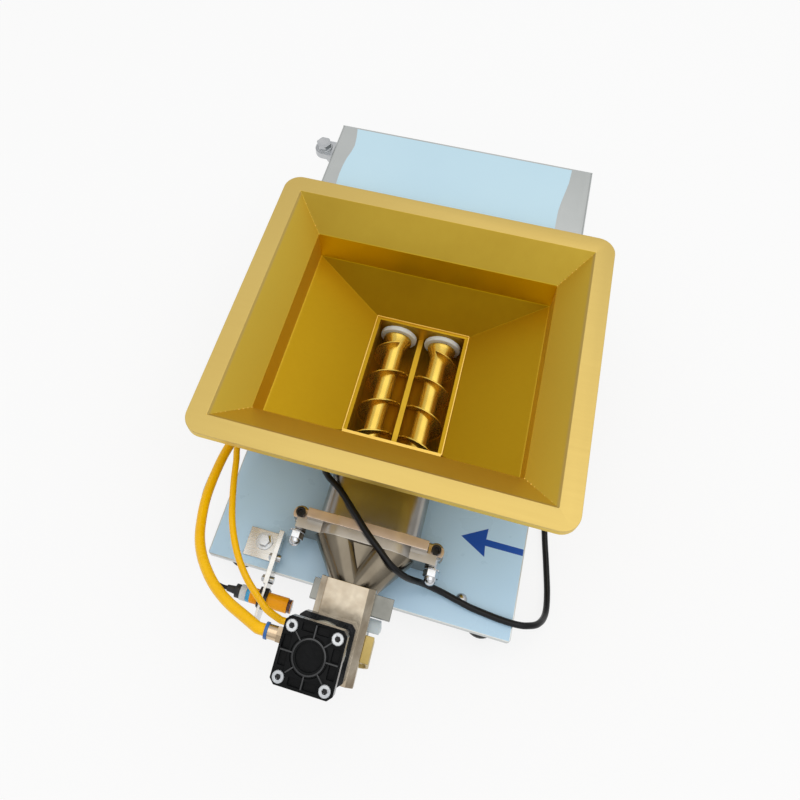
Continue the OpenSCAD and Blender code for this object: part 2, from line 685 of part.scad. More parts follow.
// Feed screws
flight_back_y = 95;
crest_y = 93;
screw_back_y = trough_wall_y - seal_t - 0.4;
screw_front_y = flange_front_y + 4;
flight_steps = 24;
tang_l = 20;
tang_w = 10;
module flight() {
    turn0 = (screw_front_y + 2 - crest_y) / flight_pitch;
    turn1 = (flight_back_y - crest_y) / flight_pitch;
    n = ceil((turn1 - turn0) * flight_steps);
    r_in = core_d / 2 - 1;
    r_out = flight_d / 2;
    section = [[r_in, -flight_root_t / 2], [r_out, -flight_edge_t / 2], [r_out, flight_edge_t / 2],
        [r_in, flight_root_t / 2]];
    points = [for (i = [0 : n]) let (turn = turn0 + (turn1 - turn0) * i / n, a = 360 * turn)
        for (q = section) [q[0] * sin(a), crest_y + flight_pitch * turn + q[1], q[0] * cos(a)]];
    walls = [for (i = [0 : n - 1], k = [0 : 3]) let (a = 4 * i + k, b = 4 * i + (k + 1) % 4)
        each [[a, b, b + 4], [a, b + 4, a + 4]]];
    ends = [[3, 2, 1, 0], [4 * n, 4 * n + 1, 4 * n + 2, 4 * n + 3]];
    polyhedron(points = points, faces = concat(walls, ends));
}
module feed_screw() {
    difference() {
        union() {
            y_rod(0, 0, screw_front_y, screw_back_y - 18, core_d / 2);
            y_cone(0, 0, screw_back_y - 18, screw_back_y - 5, core_d / 2, 20);
            y_rod(0, 0, screw_back_y - 5, screw_back_y, 20);
            y_cone(0, 0, screw_front_y - 14, screw_front_y, 4, core_d / 2);
            flight();
        }
        span([-tang_w / 2 - 0.2, screw_back_y - tang_l - 0.5, -tang_w / 2 - 0.2],
            [tang_w / 2 + 0.2, screw_back_y + 1, tang_w / 2 + 0.2]);
    }
}
module left_screw() color("gold") translate([-half_gap, 0, axis_z]) feed_screw();
module right_screw() color("gold") translate([half_gap, 0, axis_z]) mirror([1, 0, 0]) feed_screw();

module screw_seals() color("white") for (s = [-1, 1]) translate([s * half_gap, 0, axis_z]) difference() {
    union() {
        y_rod(0, 0, trough_wall_y - seal_t + 1, trough_wall_y - 3, 26);
        y_cone(0, 0, trough_wall_y - seal_t, trough_wall_y - seal_t + 1, 25, 26);
        y_rod(0, 0, trough_wall_y - 3, trough_wall_y, 22);
    }
    y_rod(0, 0, trough_wall_y - seal_t - 1, trough_wall_y + 1, shaft_bore_r);
}

key_w = 6;
key_h = 2.6;
gear_back_y = gear_front_y + gear_w;
reducer_back_y = reducer_front_y + reducer_w;
module shaft(y1) {
    y_rod(0, 0, screw_back_y, y1, shaft_r);
    span([-tang_w / 2, screw_back_y - tang_l, -tang_w / 2], [tang_w / 2, screw_back_y + 1, tang_w / 2]);
    // Key of the gear
    span([-key_w / 2, gear_front_y, 0], [key_w / 2, gear_back_y, shaft_r + key_h]);
}
module left_shaft() color("silver") translate([-half_gap, 0, axis_z]) shaft(gear_back_y + 4);
module right_shaft() color("silver") translate([half_gap, 0, axis_z]) shaft(reducer_back_y - 4);

// Bearing block
bearing_r = 23.5;
bearing_w = 14;
bearing_play = 0.03;
block_r = 28;
module bearing_block() color("slategray") difference() {
    union() {
        span([-62, trough_back_y, base_top_z], [62, housing_front_y, axis_z + 22]);
        along_y(trough_back_y, housing_front_y) for (s = [-1, 1])
            translate([s * half_gap, axis_z]) circle(r = block_r);
        span([-half_gap, trough_back_y, axis_z], [half_gap, housing_front_y, axis_z + block_r]);
    }
    bores(trough_back_y - 1, housing_front_y + 1, 15);
    bores(trough_back_y - 1, trough_back_y + bearing_w, bearing_r);
    bores(housing_front_y - bearing_w, housing_front_y + 1, bearing_r);
}
module bearing() rotate_extrude() difference() {
    translate([shaft_bore_r, 0]) square([bearing_r - bearing_play - shaft_bore_r, bearing_w]);
    for (y = [-1, bearing_w - 1]) translate([14, y]) square([5.5, 2]);
}
module bearings() color("lightgray") for (s = [-1, 1], y = [trough_back_y, housing_front_y - bearing_w])
    translate([s * half_gap, y + bearing_w, axis_z]) rotate([90, 0, 0]) bearing();

// Synchronising gears with involute teeth
gear_pitch_r = half_gap;
gear_m = screw_gap / gear_teeth;
gear_play = 0.12;
base_r = gear_pitch_r * cos(20);
function involute(r) = let (a = acos(min(1, base_r / r))) tan(a) * 180 / PI - a;
function half_tooth(r) = 90 / gear_teeth + involute(gear_pitch_r) - involute(r)
    - gear_play / gear_pitch_r * 180 / PI;
function flank_r(k) = base_r + (gear_pitch_r + gear_m - base_r) * k / 4;
module gear(turn) {
    root_r = gear_pitch_r - 1.25 * gear_m;
    points = [for (t = [0 : gear_teeth - 1]) let (mid = 360 * t / gear_teeth + turn) each concat(
        [[root_r, mid - half_tooth(base_r)]],
        [for (k = [0 : 4]) [flank_r(k), mid - half_tooth(flank_r(k))]],
        [for (k = [4 : -1 : 0]) [flank_r(k), mid + half_tooth(flank_r(k))]],
        [[root_r, mid + half_tooth(base_r)]])];
    difference() {
        along_y(gear_front_y, gear_back_y) polygon([for (p = points) p[0] * [cos(p[1]), sin(p[1])]]);
        y_rod(0, 0, gear_front_y - 1, gear_back_y + 1, shaft_r + 0.03);
        span([-key_w / 2 - 0.05, gear_front_y - 1, 0],
            [key_w / 2 + 0.05, gear_back_y + 1, shaft_r + key_h + 0.1]);
        for (y = [gear_front_y - 1, gear_back_y - 4]) difference() {
            y_rod(0, 0, y, y + 5, root_r - 4);
            y_rod(0, 0, y - 1, y + 6, shaft_r + 7);
        }
    }
}
module left_gear() color("dimgray") translate([-half_gap, 0, axis_z]) gear(0);
module right_gear() color("dimgray") translate([half_gap, 0, axis_z]) gear(180 / gear_teeth);

// Worm reducer, motor and fan cowl inside the housing
hub_r = 17.5;
worm_z = axis_z + 40;
reducer_x = 38;
reducer_mid_y = (reducer_front_y + reducer_back_y) / 2;
motor_r = 45;
motor_flange_t = 8;
motor_x1 = half_gap - reducer_x - motor_flange_t;
motor_x0 = motor_x1 - 110;
cowl_l = 34;
module reducer() color("slategray") difference() {
    union() {
        span([half_gap - reducer_x, reducer_front_y + 4, base_top_z],
            [half_gap + reducer_x, reducer_back_y - 4, worm_z + 34]);
        y_rod(half_gap, axis_z, reducer_front_y, reducer_back_y, 30);
    }
    y_rod(half_gap, axis_z, reducer_front_y - 1, reducer_back_y + 1, hub_r + run_fit);
    // Cooling ribs between grooves
    for (z = [0 : 3]) translate([half_gap, 0, worm_z + 4 + 8 * z])
        span([reducer_x - 4, reducer_front_y, 0], [reducer_x + 1, reducer_back_y, 4]);
}
module reducer_hub() color("silver") difference() {
    y_rod(half_gap, axis_z, reducer_front_y - 3, reducer_back_y + 1, hub_r);
    y_rod(half_gap, axis_z, reducer_front_y - 4, reducer_back_y + 2, shaft_r + 0.03);
}
fin_t = 2.4;
fin_in = 8;
module motor() color("steelblue") {
    x_rod(reducer_mid_y, worm_z, motor_x1, motor_x1 + motor_flange_t, motor_r + 3);
    x_rod(reducer_mid_y, worm_z, motor_x0, motor_x1 + 1, motor_r - 5);
    // Cooling fins all round, but for the terminal box on top
    for (k = [3 : 21]) translate([0, reducer_mid_y, worm_z]) rotate([15 * k, 0, 0])
        span([motor_x0 + 2, -fin_t / 2, motor_r - fin_in], [motor_x1 - 2, fin_t / 2, motor_r]);
    span([motor_x0 + 30, reducer_mid_y - 22, worm_z + motor_r - fin_in - 6],
        [motor_x0 + 78, reducer_mid_y + 22, worm_z + motor_r + 22]);
}
module fan_cowl() color("steelblue") difference() {
    x_rod(reducer_mid_y, worm_z, motor_x0 - cowl_l, motor_x0, motor_r + 1);
    x_rod(reducer_mid_y, worm_z, motor_x0 - cowl_l + 1.5, motor_x0 + 1, motor_r - 0.5);
    for (k = [0 : 11]) translate([0, reducer_mid_y, worm_z]) rotate([30 * k, 0, 0])
        span([motor_x0 - cowl_l - 1, -2, 14], [motor_x0 - cowl_l + 3, 2, 36]);
}

// Air cylinder
module cap_block(h) {
    c = 5;
    w = cap_w / 2;
    linear_extrude(h) polygon([[-w + c, -w], [w - c, -w], [w, -w + c], [w, w - c], [w - c, w], [-w + c, w],
        [-w, w - c], [-w, -w + c]]);
}
module at_ties() { for (x = [-1, 1], y = [-1, 1]) translate([x, y] * tie_gap / 2) children(); }
port_r = 5;
module cylinder_bottom_cap() color("#202020") knife_frame() difference() {
    translate([0, 0, plate_top]) cap_block(bottom_cap_h);
    cylinder(r = rod_r + run_fit, h = 99);
    at_ties() translate([0, 0, plate_top + 5]) cylinder(r = 3.1, h = 99);
    translate([-cap_w / 2 - 1, low_port_y, cap_base - low_port_drop]) rotate([0, 90, 0])
        cylinder(r = port_r, h = 12);
}
module cylinder_tube() color("gainsboro") knife_frame() translate([0, 0, cap_base]) difference() {
    cylinder(r = cyl_bore / 2 + tube_t, h = tube_h);
    translate([0, 0, -1]) cylinder(r = cyl_bore / 2, h = tube_h + 2);
}
module cylinder_top_cap() color("#202020") knife_frame() translate([0, 0, cap_base + tube_h]) difference() {
    cap_block(top_cap_h);
    at_ties() translate([0, 0, -1]) cylinder(r = 3.1, h = 99);
    translate([0, 0, top_cap_h - 4]) cylinder(r = 13.5, h = 5);
    translate([0, 0, top_cap_h - 2]) difference() {
        cylinder(r = 19, h = 3);
        translate([0, 0, -1]) cylinder(r = 16, h = 5);
    }
    // Pockets between ribs along each side
    for (k = [0 : 3], s = [-1, 1]) rotate([0, 0, 90 * k]) translate([0, 0, top_cap_h - 5])
        span([min(s * 1.5, s * 14), 21.5, 0], [max(s * 1.5, s * 14), 29, 6]);
    translate([-cap_w / 2 - 1, top_port_y, top_cap_h - top_port_drop]) rotate([0, 90, 0])
        cylinder(r = port_r, h = 12);
}
module tie_rods() color("silver") knife_frame() at_ties() {
    translate([0, 0, plate_top + 5]) cylinder(r = 3, h = cap_top - plate_top - 5);
    translate([0, 0, cap_top]) difference() {
        cylinder(r = 5.6, h = 6.5);
        translate([0, 0, 2]) cylinder(d = 5 / cos(30), h = 9, $fn = 6);
    }
}
module piston() color("dimgray") knife_frame() translate([0, 0, piston_top - piston_h]) difference() {
    cylinder(r = cyl_bore / 2 - 0.05, h = piston_h);
    translate([0, 0, 3.5]) difference() {
        cylinder(r = cyl_bore, h = 3);
        translate([0, 0, -1]) cylinder(r = cyl_bore / 2 - 2, h = 5);
    }
}
module piston_rod() color("gainsboro") knife_frame() translate([0, 0, holder_top])
    cylinder(r = rod_r, h = piston_top - piston_h - holder_top);
module knife_holder() color("silver") knife_frame() difference() {
    span([-rod_r - 2, -rod_r - 1, holder_top - holder_h],
        [-knife_x + knife_w / 2 - 2, guide_face - knife_run - knife_t, holder_top]);
    span([-knife_x, -rod_r - 2, holder_top - holder_h - 1], [-knife_x + knife_w / 2, 8, holder_top + 1]);
}
module knife() color("white") knife_frame() translate([-knife_x, guide_face - knife_run, 0])
    rotate([90, 0, -90]) translate([0, 0, -knife_w / 2]) linear_extrude(knife_w)
        polygon([[0, knife_bottom], [0, holder_top], [knife_t, holder_top], [knife_t, knife_bottom + 5]]);

// Air fittings on the cylinder
module straight_fitting(y, w, r, l, ring) knife_frame() translate([-cap_w / 2, y, w]) rotate([0, -90, 0]) {
    difference() {
        union() {
            translate([0, 0, -8]) cylinder(r = port_r - 0.1, h = 9);
            cylinder(d = 2 * r / cos(30), h = 6, $fn = 6);
            cylinder(r = r, h = l - ring);
        }
        translate([0, 0, -9]) cylinder(r = 2.5, h = l + 10);
    }
    translate([0, 0, l - ring]) difference() {
        cylinder(r = r + 0.6, h = ring);
        translate([0, 0, -1]) cylinder(r = 2.5, h = ring + 2);
    }
}
module top_fitting() color("peru")
    straight_fitting(top_port_y, cap_top - top_port_drop, 7.2, fitting_top_l, 3);
module bottom_fitting() color("peru")
    straight_fitting(low_port_y, cap_base - low_port_drop, 6.4, fitting_low_l, 3);

// Solenoid valve on the base, under the hopper
coil_block_l = 20;
module solenoid_valve() color("gainsboro") difference() {
    span([valve_x0, valve_y0, base_top_z], [valve_x1, valve_y1, valve_top_z]);
    span([valve_x0 - 1, valve_y0 - 1, base_top_z + 6], [valve_x1 + 1, valve_y0 + 4, base_top_z + 10]);
    for (x = [thick_port_x, thin_port_x]) {
        translate([x, valve_mid_y, valve_top_z - 8]) cylinder(r = 4.5, h = 9);
        y_rod(x, valve_port_z, valve_y1 - 8, valve_y1 + 1, 4.5);
    }
    x_rod(valve_mid_y, valve_port_z, valve_x0 - 1, valve_x0 + 8, 4.5);
}
module valve_coil() color("#202020") {
    span([valve_x1, valve_y0 + 1, base_top_z + 4], [valve_x1 + coil_block_l, valve_y1 - 1, valve_top_z + 4]);
    x_rod(valve_mid_y, valve_port_z, valve_x1 + coil_block_l, valve_x1 + coil_block_l + 4, 7);
    span([valve_x1 + 3, valve_y0 + 4, valve_top_z + 4],
        [valve_x1 + coil_block_l - 3, valve_y1 - 4, valve_top_z + 16]);
}
// A straight push-in fitting
module push_fitting(l, r) difference() {
    union() {
        translate([0, 0, -7]) cylinder(r = 4.4, h = 8);
        cylinder(d = 2 * r / cos(30), h = 4, $fn = 6);
        cylinder(r = r, h = l);
    }
    translate([0, 0, -8]) cylinder(r = 2.5, h = 40);
}
supply_l = 16;
supply_r = 4.05;
module valve_ports() color("peru") {
    for (p = [[thick_port_x, 7.5], [thin_port_x, 6]])
        translate([p[0], valve_mid_y, valve_top_z]) push_fitting(port_l, p[1]);
    translate([valve_x0, valve_mid_y, valve_port_z]) rotate([0, -90, 0]) difference() {
        push_fitting(supply_l, 7);
        translate([0, 0, supply_l - 12]) cylinder(r = supply_r, h = 13);
    }
    for (x = [thick_port_x, thin_port_x]) translate([x, valve_y1, valve_port_z]) rotate([-90, 0, 0]) {
        translate([0, 0, -7]) cylinder(r = 4.4, h = 8);
        cylinder(r1 = 6.5, r2 = 4, h = 14);
    }
}

// Photo sensor on its bracket
sensor_y = -268;
sensor_x1 = -69;
arm_x0 = -107;
arm_x1 = -104;
arm_top_z = sensor_z + 15;
arm_screws = [-219, -246];
arm_screw_z = sensor_z + 5;
foot_plate_t = 3;
module sensor_bracket() color("silver") difference() {
    union() {
        // Arm
        span([arm_x0, sensor_y - 24, sensor_z - 16], [arm_x1, base_front_y - 1, arm_top_z]);
        span([arm_x0, sensor_y - 24, base_top_z + 5], [arm_x1, -187, arm_top_z]);
        // Foot: an angle whose upright carries the arm
        span([arm_x0 - 44, -223, base_top_z], [arm_x0, -187, base_top_z + foot_plate_t]);
        span([arm_x0 - foot_plate_t, -253, base_top_z + 2], [arm_x0, -187, arm_top_z]);
    }
    x_rod(sensor_y, sensor_z, arm_x0 - 9, arm_x1 + 1, sensor_d / 2 + 0.2);
    for (y = arm_screws) x_rod(y, arm_screw_z, arm_x0 - 9, arm_x1 + 1, 2.7);
    for (x = [-7, 7]) translate([-dome_x + x, dome_front_y, 0]) cylinder(r = 4.2, h = 99);
    span([-dome_x - 7, dome_front_y - 4.2, 0], [-dome_x + 7, dome_front_y + 4.2, 99]);
}
module sensor_screws() color("gainsboro") {
    translate([-dome_x, dome_front_y, 0]) {
        cylinder_between(3.9, base_top_z - 8, base_top_z + foot_plate_t);
        cylinder_between(11, base_top_z + foot_plate_t, base_top_z + foot_plate_t + 1.6);
        translate([0, 0, base_top_z + foot_plate_t + 1.6]) cylinder(d = 13 / cos(30), h = 5.3, $fn = 6);
    }
    for (y = arm_screws) {
        x_rod(y, arm_screw_z, arm_x0 - 8, arm_x1, 2.5);
        x_rod(y, arm_screw_z, arm_x1, arm_x1 + 5, 4.6);
        translate([arm_x0 - foot_plate_t - 4, y, arm_screw_z]) rotate([0, 90, 0]) difference() {
            cylinder(d = 8 / cos(30), h = 4, $fn = 6);
            translate([0, 0, -1]) cylinder(r = 2.4, h = 1.2);
        }
    }
}
boot_l = 18;
module photo_sensor() color("orange") {
    r = sensor_d / 2;
    x0 = sensor_x1 - sensor_len;
    x_rod(sensor_y, sensor_z, x0 + 6, sensor_x1 - 5, r);
    x_rod(sensor_y, sensor_z, sensor_x1 - 5, sensor_x1, r - 1);
    x_rod(sensor_y, sensor_z, x0, x0 + 6, r - 0.5);
    translate([x0 - boot_l, sensor_y, sensor_z]) rotate([0, 90, 0]) cylinder(r1 = 3.4, r2 = 5.5, h = boot_l);
}
module sensor_nuts() color("#202020") for (x = [arm_x0 - 4.2, arm_x1 + 0.2]) difference() {
    translate([x, sensor_y, sensor_z]) rotate([0, 90, 0]) cylinder(d = 24 / cos(30), h = 4, $fn = 6);
    x_rod(sensor_y, sensor_z, x - 1, x + 6, sensor_d / 2 + 0.05);
}

// Cords, hoses and what they end in
gland_l = 26;
cable_gland_l = 18;
module cable_glands() color("#202020") {
    difference() {
        union() {
            y_rod(gland_x, gland_z, housing_front_y, housing_front_y + 7.5, gland_hole_r - 0.1);
            y_hex(gland_x, gland_z, housing_front_y - 5, housing_front_y, 17);
            y_cone(gland_x, gland_z, housing_front_y - gland_l, housing_front_y - 5, cord_d / 2 + 1, 7.5);
        }
        y_rod(gland_x, gland_z, housing_front_y - gland_l, housing_front_y + 20, cord_d / 2 - 1);
    }
    difference() {
        union() {
            y_rod(cable_gland_x, gland_z, housing_front_y, housing_front_y + 7.5, gland_hole_r - 0.1);
            y_hex(cable_gland_x, gland_z, housing_front_y - 5, housing_front_y, 15);
            y_cone(cable_gland_x, gland_z, housing_front_y - cable_gland_l, housing_front_y - 5,
                cable_d / 2 + 1, 6.5);
        }
        y_rod(cable_gland_x, gland_z, housing_front_y - cable_gland_l, housing_front_y + 20,
            cable_d / 2 - 1);
    }
}
// Square to its fitting at both ends: it leaves to the left and arrives from above
function hose(start, route, end) = concat([start],
    smooth(concat([start - [8, 0, 0]], route, [end + [0, 0, 8]]), 2), [end]);
module thick_hose() color("gold")
    tube(hose(thick_start, thick_route, thick_end), thick_d / 2, 10);
module thin_hose() color("gold")
    tube(hose(thin_start, thin_route, thin_end), thin_d / 2, 8);
module sensor_cable() color("#202020") tube(cable_route, cable_d / 2);
module power_cord() color("#202020") tube(cord_route, cord_d / 2);

// The put-away length, wound in and out again in two layers, as one unbroken tube
coil_floor = cord_d / 2 + 0.2;
loop_rings = 24;
function coil_z(t) = coil_floor + coil_pitch * min(1, max(0, (t - coil_turns / 2 + 0.25) / 0.5));
coil_points = concat([[coil_x + coil_r, coil_y - cord_d, coil_floor]],
    [for (i = [0 : coil_turns * loop_rings]) let (t = i / loop_rings,
        r = coil_r - coil_pitch * min(t, coil_turns - t))
        [coil_x + r * cos(360 * t), coil_y + r * sin(360 * t), coil_z(t)]],
    [[coil_x + coil_r, plug_y, coil_floor + coil_pitch]]);
echo("coil: least gap between its turns", min([for (i = [0 : len(coil_points) - 1],
    j = [i + loop_rings / 2 : len(coil_points) - 1]) norm(coil_points[i] - coil_points[j])]) - cord_d);
module cord_coil() color("#202020") tube(coil_points, cord_d / 2, 6);

// Plug with three flat pins
plug_z = coil_floor + coil_pitch;
module plug() color("#202020") translate([coil_x + coil_r, plug_y, plug_z]) {
    y_cone(0, 0, 0, 24, cord_d / 2 + 1, 8);
    span([-15, 24, 0.3 - plug_z], [15, 56, 11]);
    for (s = [-1, 1]) translate([s * 7, 56, 3]) rotate([0, 30 * s, 0]) span([-0.8, 0, -3.2], [0.8, 17, 3.2]);
    translate([0, 56, -6]) span([-0.8, 0, -3.2], [0.8, 20, 3.2]);
}

// Controls on the housing's right side
module speed_knob() color("#202020") difference() {
    union() {
        x_rod(panel_y, knob_z, half_housing - 8, half_housing + 4, spindle_r);
        x_rod(panel_y, knob_z, half_housing + 0.5, half_housing + 4, 16);
        translate([half_housing + 4, panel_y, knob_z]) rotate([0, 90, 0])
            cylinder(r1 = 13, r2 = 11.5, h = 12);
    }
    span([half_housing + 15, panel_y - 0.8, knob_z + 2], [half_housing + 17, panel_y + 0.8, knob_z + 13]);
}
module start_button() color("green") {
    x_rod(panel_y, button_z, half_housing - 8, half_housing + 7, button_r);
    x_rod(panel_y, button_z, half_housing - 10, half_housing - 8, button_r + 2);
}

base_tray();
rubber_feet();
base_screws();
rear_housing();
rear_cover();
cover_screws();
hopper();
trough();
barrel();
support_saddles();
screw_seals();
bearing_block();
bearings();
left_screw();
right_screw();
left_shaft();
right_shaft();
left_gear();
right_gear();
reducer();
reducer_hub();
motor();
fan_cowl();
flange_pins();
left_eye_bolt();
right_eye_bolt();
left_nut();
right_nut();
nozzle();
outlet_block();
guide_block();
outlet_chute();
cutter_bracket();
cylinder_bottom_cap();
cylinder_tube();
cylinder_top_cap();
tie_rods();
piston();
piston_rod();
knife_holder();
knife();
top_fitting();
bottom_fitting();
thick_hose();
thin_hose();
solenoid_valve();
valve_coil();
valve_ports();
sensor_bracket();
sensor_screws();
photo_sensor();
sensor_nuts();
sensor_cable();
power_cord();
cord_coil();
plug();
cable_glands();
side_lug();
speed_knob();
start_button();
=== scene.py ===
# %% [markdown]
# # A dough divider, dressed for its portrait
# The solids of the machine come packed from CAD and stay where they are. This script gives them
# their finishes: gold-coated steel, bronze-toned castings, blue protective film, yellow hoses.
# It rounds the edges that a hand would feel, and remakes the pieces whose form is finer than a
# solid model needs: the feed screws, the hoses and the cords. It adds the protective film, the
# thread of the sensor and other small trim.
# Everything is in metres, in the frame of the CAD model: -Y is the outlet, +Z is up.

# %% Load the frame and its record
import json
from math import cos, pi, radians, sin

import bmesh
import bpy
from mathutils import Matrix, Vector


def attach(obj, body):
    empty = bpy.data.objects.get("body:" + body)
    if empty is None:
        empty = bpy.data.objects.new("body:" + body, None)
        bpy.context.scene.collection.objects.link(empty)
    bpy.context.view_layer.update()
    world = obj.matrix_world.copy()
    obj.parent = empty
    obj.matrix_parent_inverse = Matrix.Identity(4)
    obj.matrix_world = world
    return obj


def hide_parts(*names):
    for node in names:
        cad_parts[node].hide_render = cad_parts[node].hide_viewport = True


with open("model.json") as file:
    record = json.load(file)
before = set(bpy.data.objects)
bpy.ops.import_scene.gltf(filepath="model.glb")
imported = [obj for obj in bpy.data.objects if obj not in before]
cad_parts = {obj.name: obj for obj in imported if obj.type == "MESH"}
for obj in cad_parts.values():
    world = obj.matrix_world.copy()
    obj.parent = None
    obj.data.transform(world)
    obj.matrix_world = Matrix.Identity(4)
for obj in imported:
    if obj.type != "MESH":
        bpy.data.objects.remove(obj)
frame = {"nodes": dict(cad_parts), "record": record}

MM = 0.001
nodes = frame["nodes"]
body_of = {n: b for b, ns in frame["record"]["behaviour"]["bodies"].items() for n in ns}
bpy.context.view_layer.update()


def add_object(name, data):
    piece = bpy.data.objects.new(name, data)
    bpy.context.scene.collection.objects.link(piece)
    return piece


# %% [markdown]
# ## The camera
# The photograph was taken from above the outlet, leaning over the machine. The lens was measured
# from the hopper's rim, which is a rectangle in truth and a lopsided shape in the picture.
# A small lens shift frames the machine as the photograph does.

# %% The camera
camera = add_object("camera", bpy.data.cameras.new("camera"))
camera.data.sensor_width = 36
camera.data.lens = 34.54
camera.data.shift_x = 0.051
camera.data.shift_y = -0.15
camera.location = (0.0798, -0.4107, 1.0619)
camera.rotation_euler = [radians(a) for a in (33.139, 1.224, 15.884)]
bpy.context.scene.camera = camera
print("camera", [round(c, 3) for c in camera.location])

# %% [markdown]
# ## Cords and hoses
# A hose is one soft curve with a round section, so it is made as a curve with a bevel and not as
# a mesh. Its course is the same few points that the CAD model uses. A Catmull-Rom spline passes
# through each of them, which keeps the hose where the photograph shows it. The spare length of
# the power cord is wound into a flat coil behind the machine, and it ends in the plug.


# %% A curve through points
def between(a, b, c, d, t):
    """The point at t on the Catmull-Rom spline from b to c."""
    return 0.5 * (2 * b + (c - a) * t + (2 * a - 5 * b + 4 * c - d) * t * t
                  + (3 * b - a - 3 * c + d) * t ** 3)


def through(points, steps):
    p = [Vector(q) for q in points]
    last = len(p) - 1
    out = [between(p[max(i - 1, 0)], p[i], p[i + 1], p[min(i + 2, last)], k / steps)
           for i in range(last) for k in range(steps)]
    return out + [p[last]]


def run_length(points):
    return sum((b - a).length for a, b in zip(points, points[1:]))


def round_cord(name, points_mm, diameter_mm):
    curve = bpy.data.curves.new(name, "CURVE")
    curve.dimensions = "3D"
    curve.bevel_depth = diameter_mm / 2 * MM
    curve.bevel_resolution = 5
    curve.use_fill_caps = True
    spline = curve.splines.new("POLY")
    spline.points.add(len(points_mm) - 1)
    for at, p in zip(spline.points, points_mm):
        at.co = (*(Vector(p) * MM), 1)
    spline.use_smooth = True
    piece = add_object(name, curve)
    print(name, "is", round(run_length(points_mm) * MM, 3), "m long")
    return piece


# %% The power cord with its coil
cord_route = [
    (-100, 179, 84), (-100, 171, 84), (-100, 150, 81.5), (-98, 119, 70), (-95, 84, 59), (-92, 49, 54.2),
    (-90, 9, 54.2), (-86, -26, 57), (-83, -56, 69), (-81, -82, 87), (-77, -101, 104), (-66, -117, 118),
    (-45, -132, 124.5), (-22, -152.5, 125.5), (0, -172.5, 125.5), (20, -188.2, 124.5),
    (39, -201.3, 118), (58, -205, 99), (79, -201, 74), (102, -201.5, 60.5), (115, -203.8, 58.3),
    (127, -206.1, 57.5), (139, -208.3, 55.6), (151, -209.6, 54.3), (177, -212, 54.4),
    (199, -212.3, 54.3), (213, -209, 50), (226, -201, 39), (235, -184, 20), (236, -157, 6.5),
    (230, -121, 4.2), (222, -81, 4.2), (214, -31, 4.2), (209, 29, 4.2), (207, 99, 4.2), (206, 169, 4.2),
    (205, 239, 4.2), (201, 299, 4.2), (192, 349, 4.2), (182, 385, 4.2), (174.5, 404, 4.2),
    (172, 413, 4.2), (172, 421, 4.2)]
spline_steps, coil_steps = 6, 60
coil_middle = Vector((120, 429, 0))
coil_radius, coil_pitch, coil_turns, cord_radius = 52, 8.8, 3, 4
coil_floor = cord_radius + 0.2


def coil_point(t):
    """Inwards for half the turns, then a step up, and outwards again over the first layer."""
    r = coil_radius - coil_pitch * min(t, coil_turns - t)
    climb = min(1, max(0, (t - coil_turns / 2 + 0.25) / 0.5))
    return coil_middle + Vector((r * cos(2 * pi * t), r * sin(2 * pi * t),
                                 coil_floor + coil_pitch * climb))


wound = [coil_point(i / coil_steps) for i in range(coil_turns * coil_steps + 1)]
plug_start = coil_middle + Vector((coil_radius, 32, coil_floor + coil_pitch))
cord_points = through(cord_route, spline_steps) + wound + [plug_start]
power_cord = round_cord("power_cord_laid", cord_points, 2 * cord_radius)

# %% The air hoses and the sensor's cable
lean = radians(13)
knife_at = Vector((-12, -297.6, 88))


def in_knife(x, y, w):
    return knife_at + Vector((x, y * cos(lean) - w * sin(lean), y * sin(lean) + w * cos(lean)))


def hose_points(start, route, end):
    """Straight out of the fitting, along the route, and down into the valve."""
    course = [start - Vector((8, 0, 0))] + route + [end + Vector((0, 0, 8))]
    return [start] + through(course, spline_steps) + [end]


thick_start = in_knife(-51, 10, 139)
thick_route = [
    (-91.5, -311, 216), (-113.5, -302, 206), (-135, -289.5, 195), (-153, -274.5, 184),
    (-168.5, -257.5, 173), (-180, -239.5, 163), (-188.5, -219, 153), (-195.5, -193.5, 144),
    (-199, -167, 136), (-200, -138.5, 129), (-198.5, -115.5, 124), (-193, -88, 121), (-184.5, -66, 116)]
thin_start = in_knife(-44, 14, 52)
thin_route = [
    (-80.5, -291, 151), (-91.5, -283.5, 153), (-111.5, -268, 156), (-128.5, -250, 156),
    (-142.5, -230, 154), (-154, -208.5, 151), (-163, -185.5, 148), (-171, -161, 145), (-178, -136, 142),
    (-183.5, -119, 140), (-184, -100, 138), (-178, -80, 132), (-167, -65, 122), (-160.5, -59, 112)]
cable_route = [
    (-153, -268, 60), (-161, -268, 60), (-173.5, -265, 68), (-184, -253.5, 80), (-195, -235, 94),
    (-204.5, -209, 104), (-210.5, -182, 108), (-211.5, -158.5, 108), (-210.5, -136.5, 105),
    (-209.5, -113, 98), (-207, -90, 77), (-202, -66, 57), (-197, -42, 52.9), (-188, -8, 52.7),
    (-172, 39, 53), (-160, 89, 53.7), (-156, 134, 62), (-155, 165, 78), (-155, 178, 84), (-155, 187, 84)]
thick_points = hose_points(thick_start, thick_route, Vector((-181, -58, 98)))
thin_points = hose_points(thin_start, thin_route, Vector((-159, -58, 98)))
cable_points = through(cable_route, spline_steps)
thick_hose = round_cord("thick_hose_laid", thick_points, 12)
thin_hose = round_cord("thin_hose_laid", thin_points, 8)
sensor_cable = round_cord("sensor_cable_laid", cable_points, 5)

# %% [markdown]
# ## Finishes
# Every finish is a Principled shader with a little unevenness: two noises, one slow for the
# clouding of the colour and one fine for the grain. A brushed sheet is a noise drawn out long in
# the direction of brushing, which turns highlights into streaks. All patterns sit on Object
# coordinates, so they stay put when a piece moves and look the same from any side.


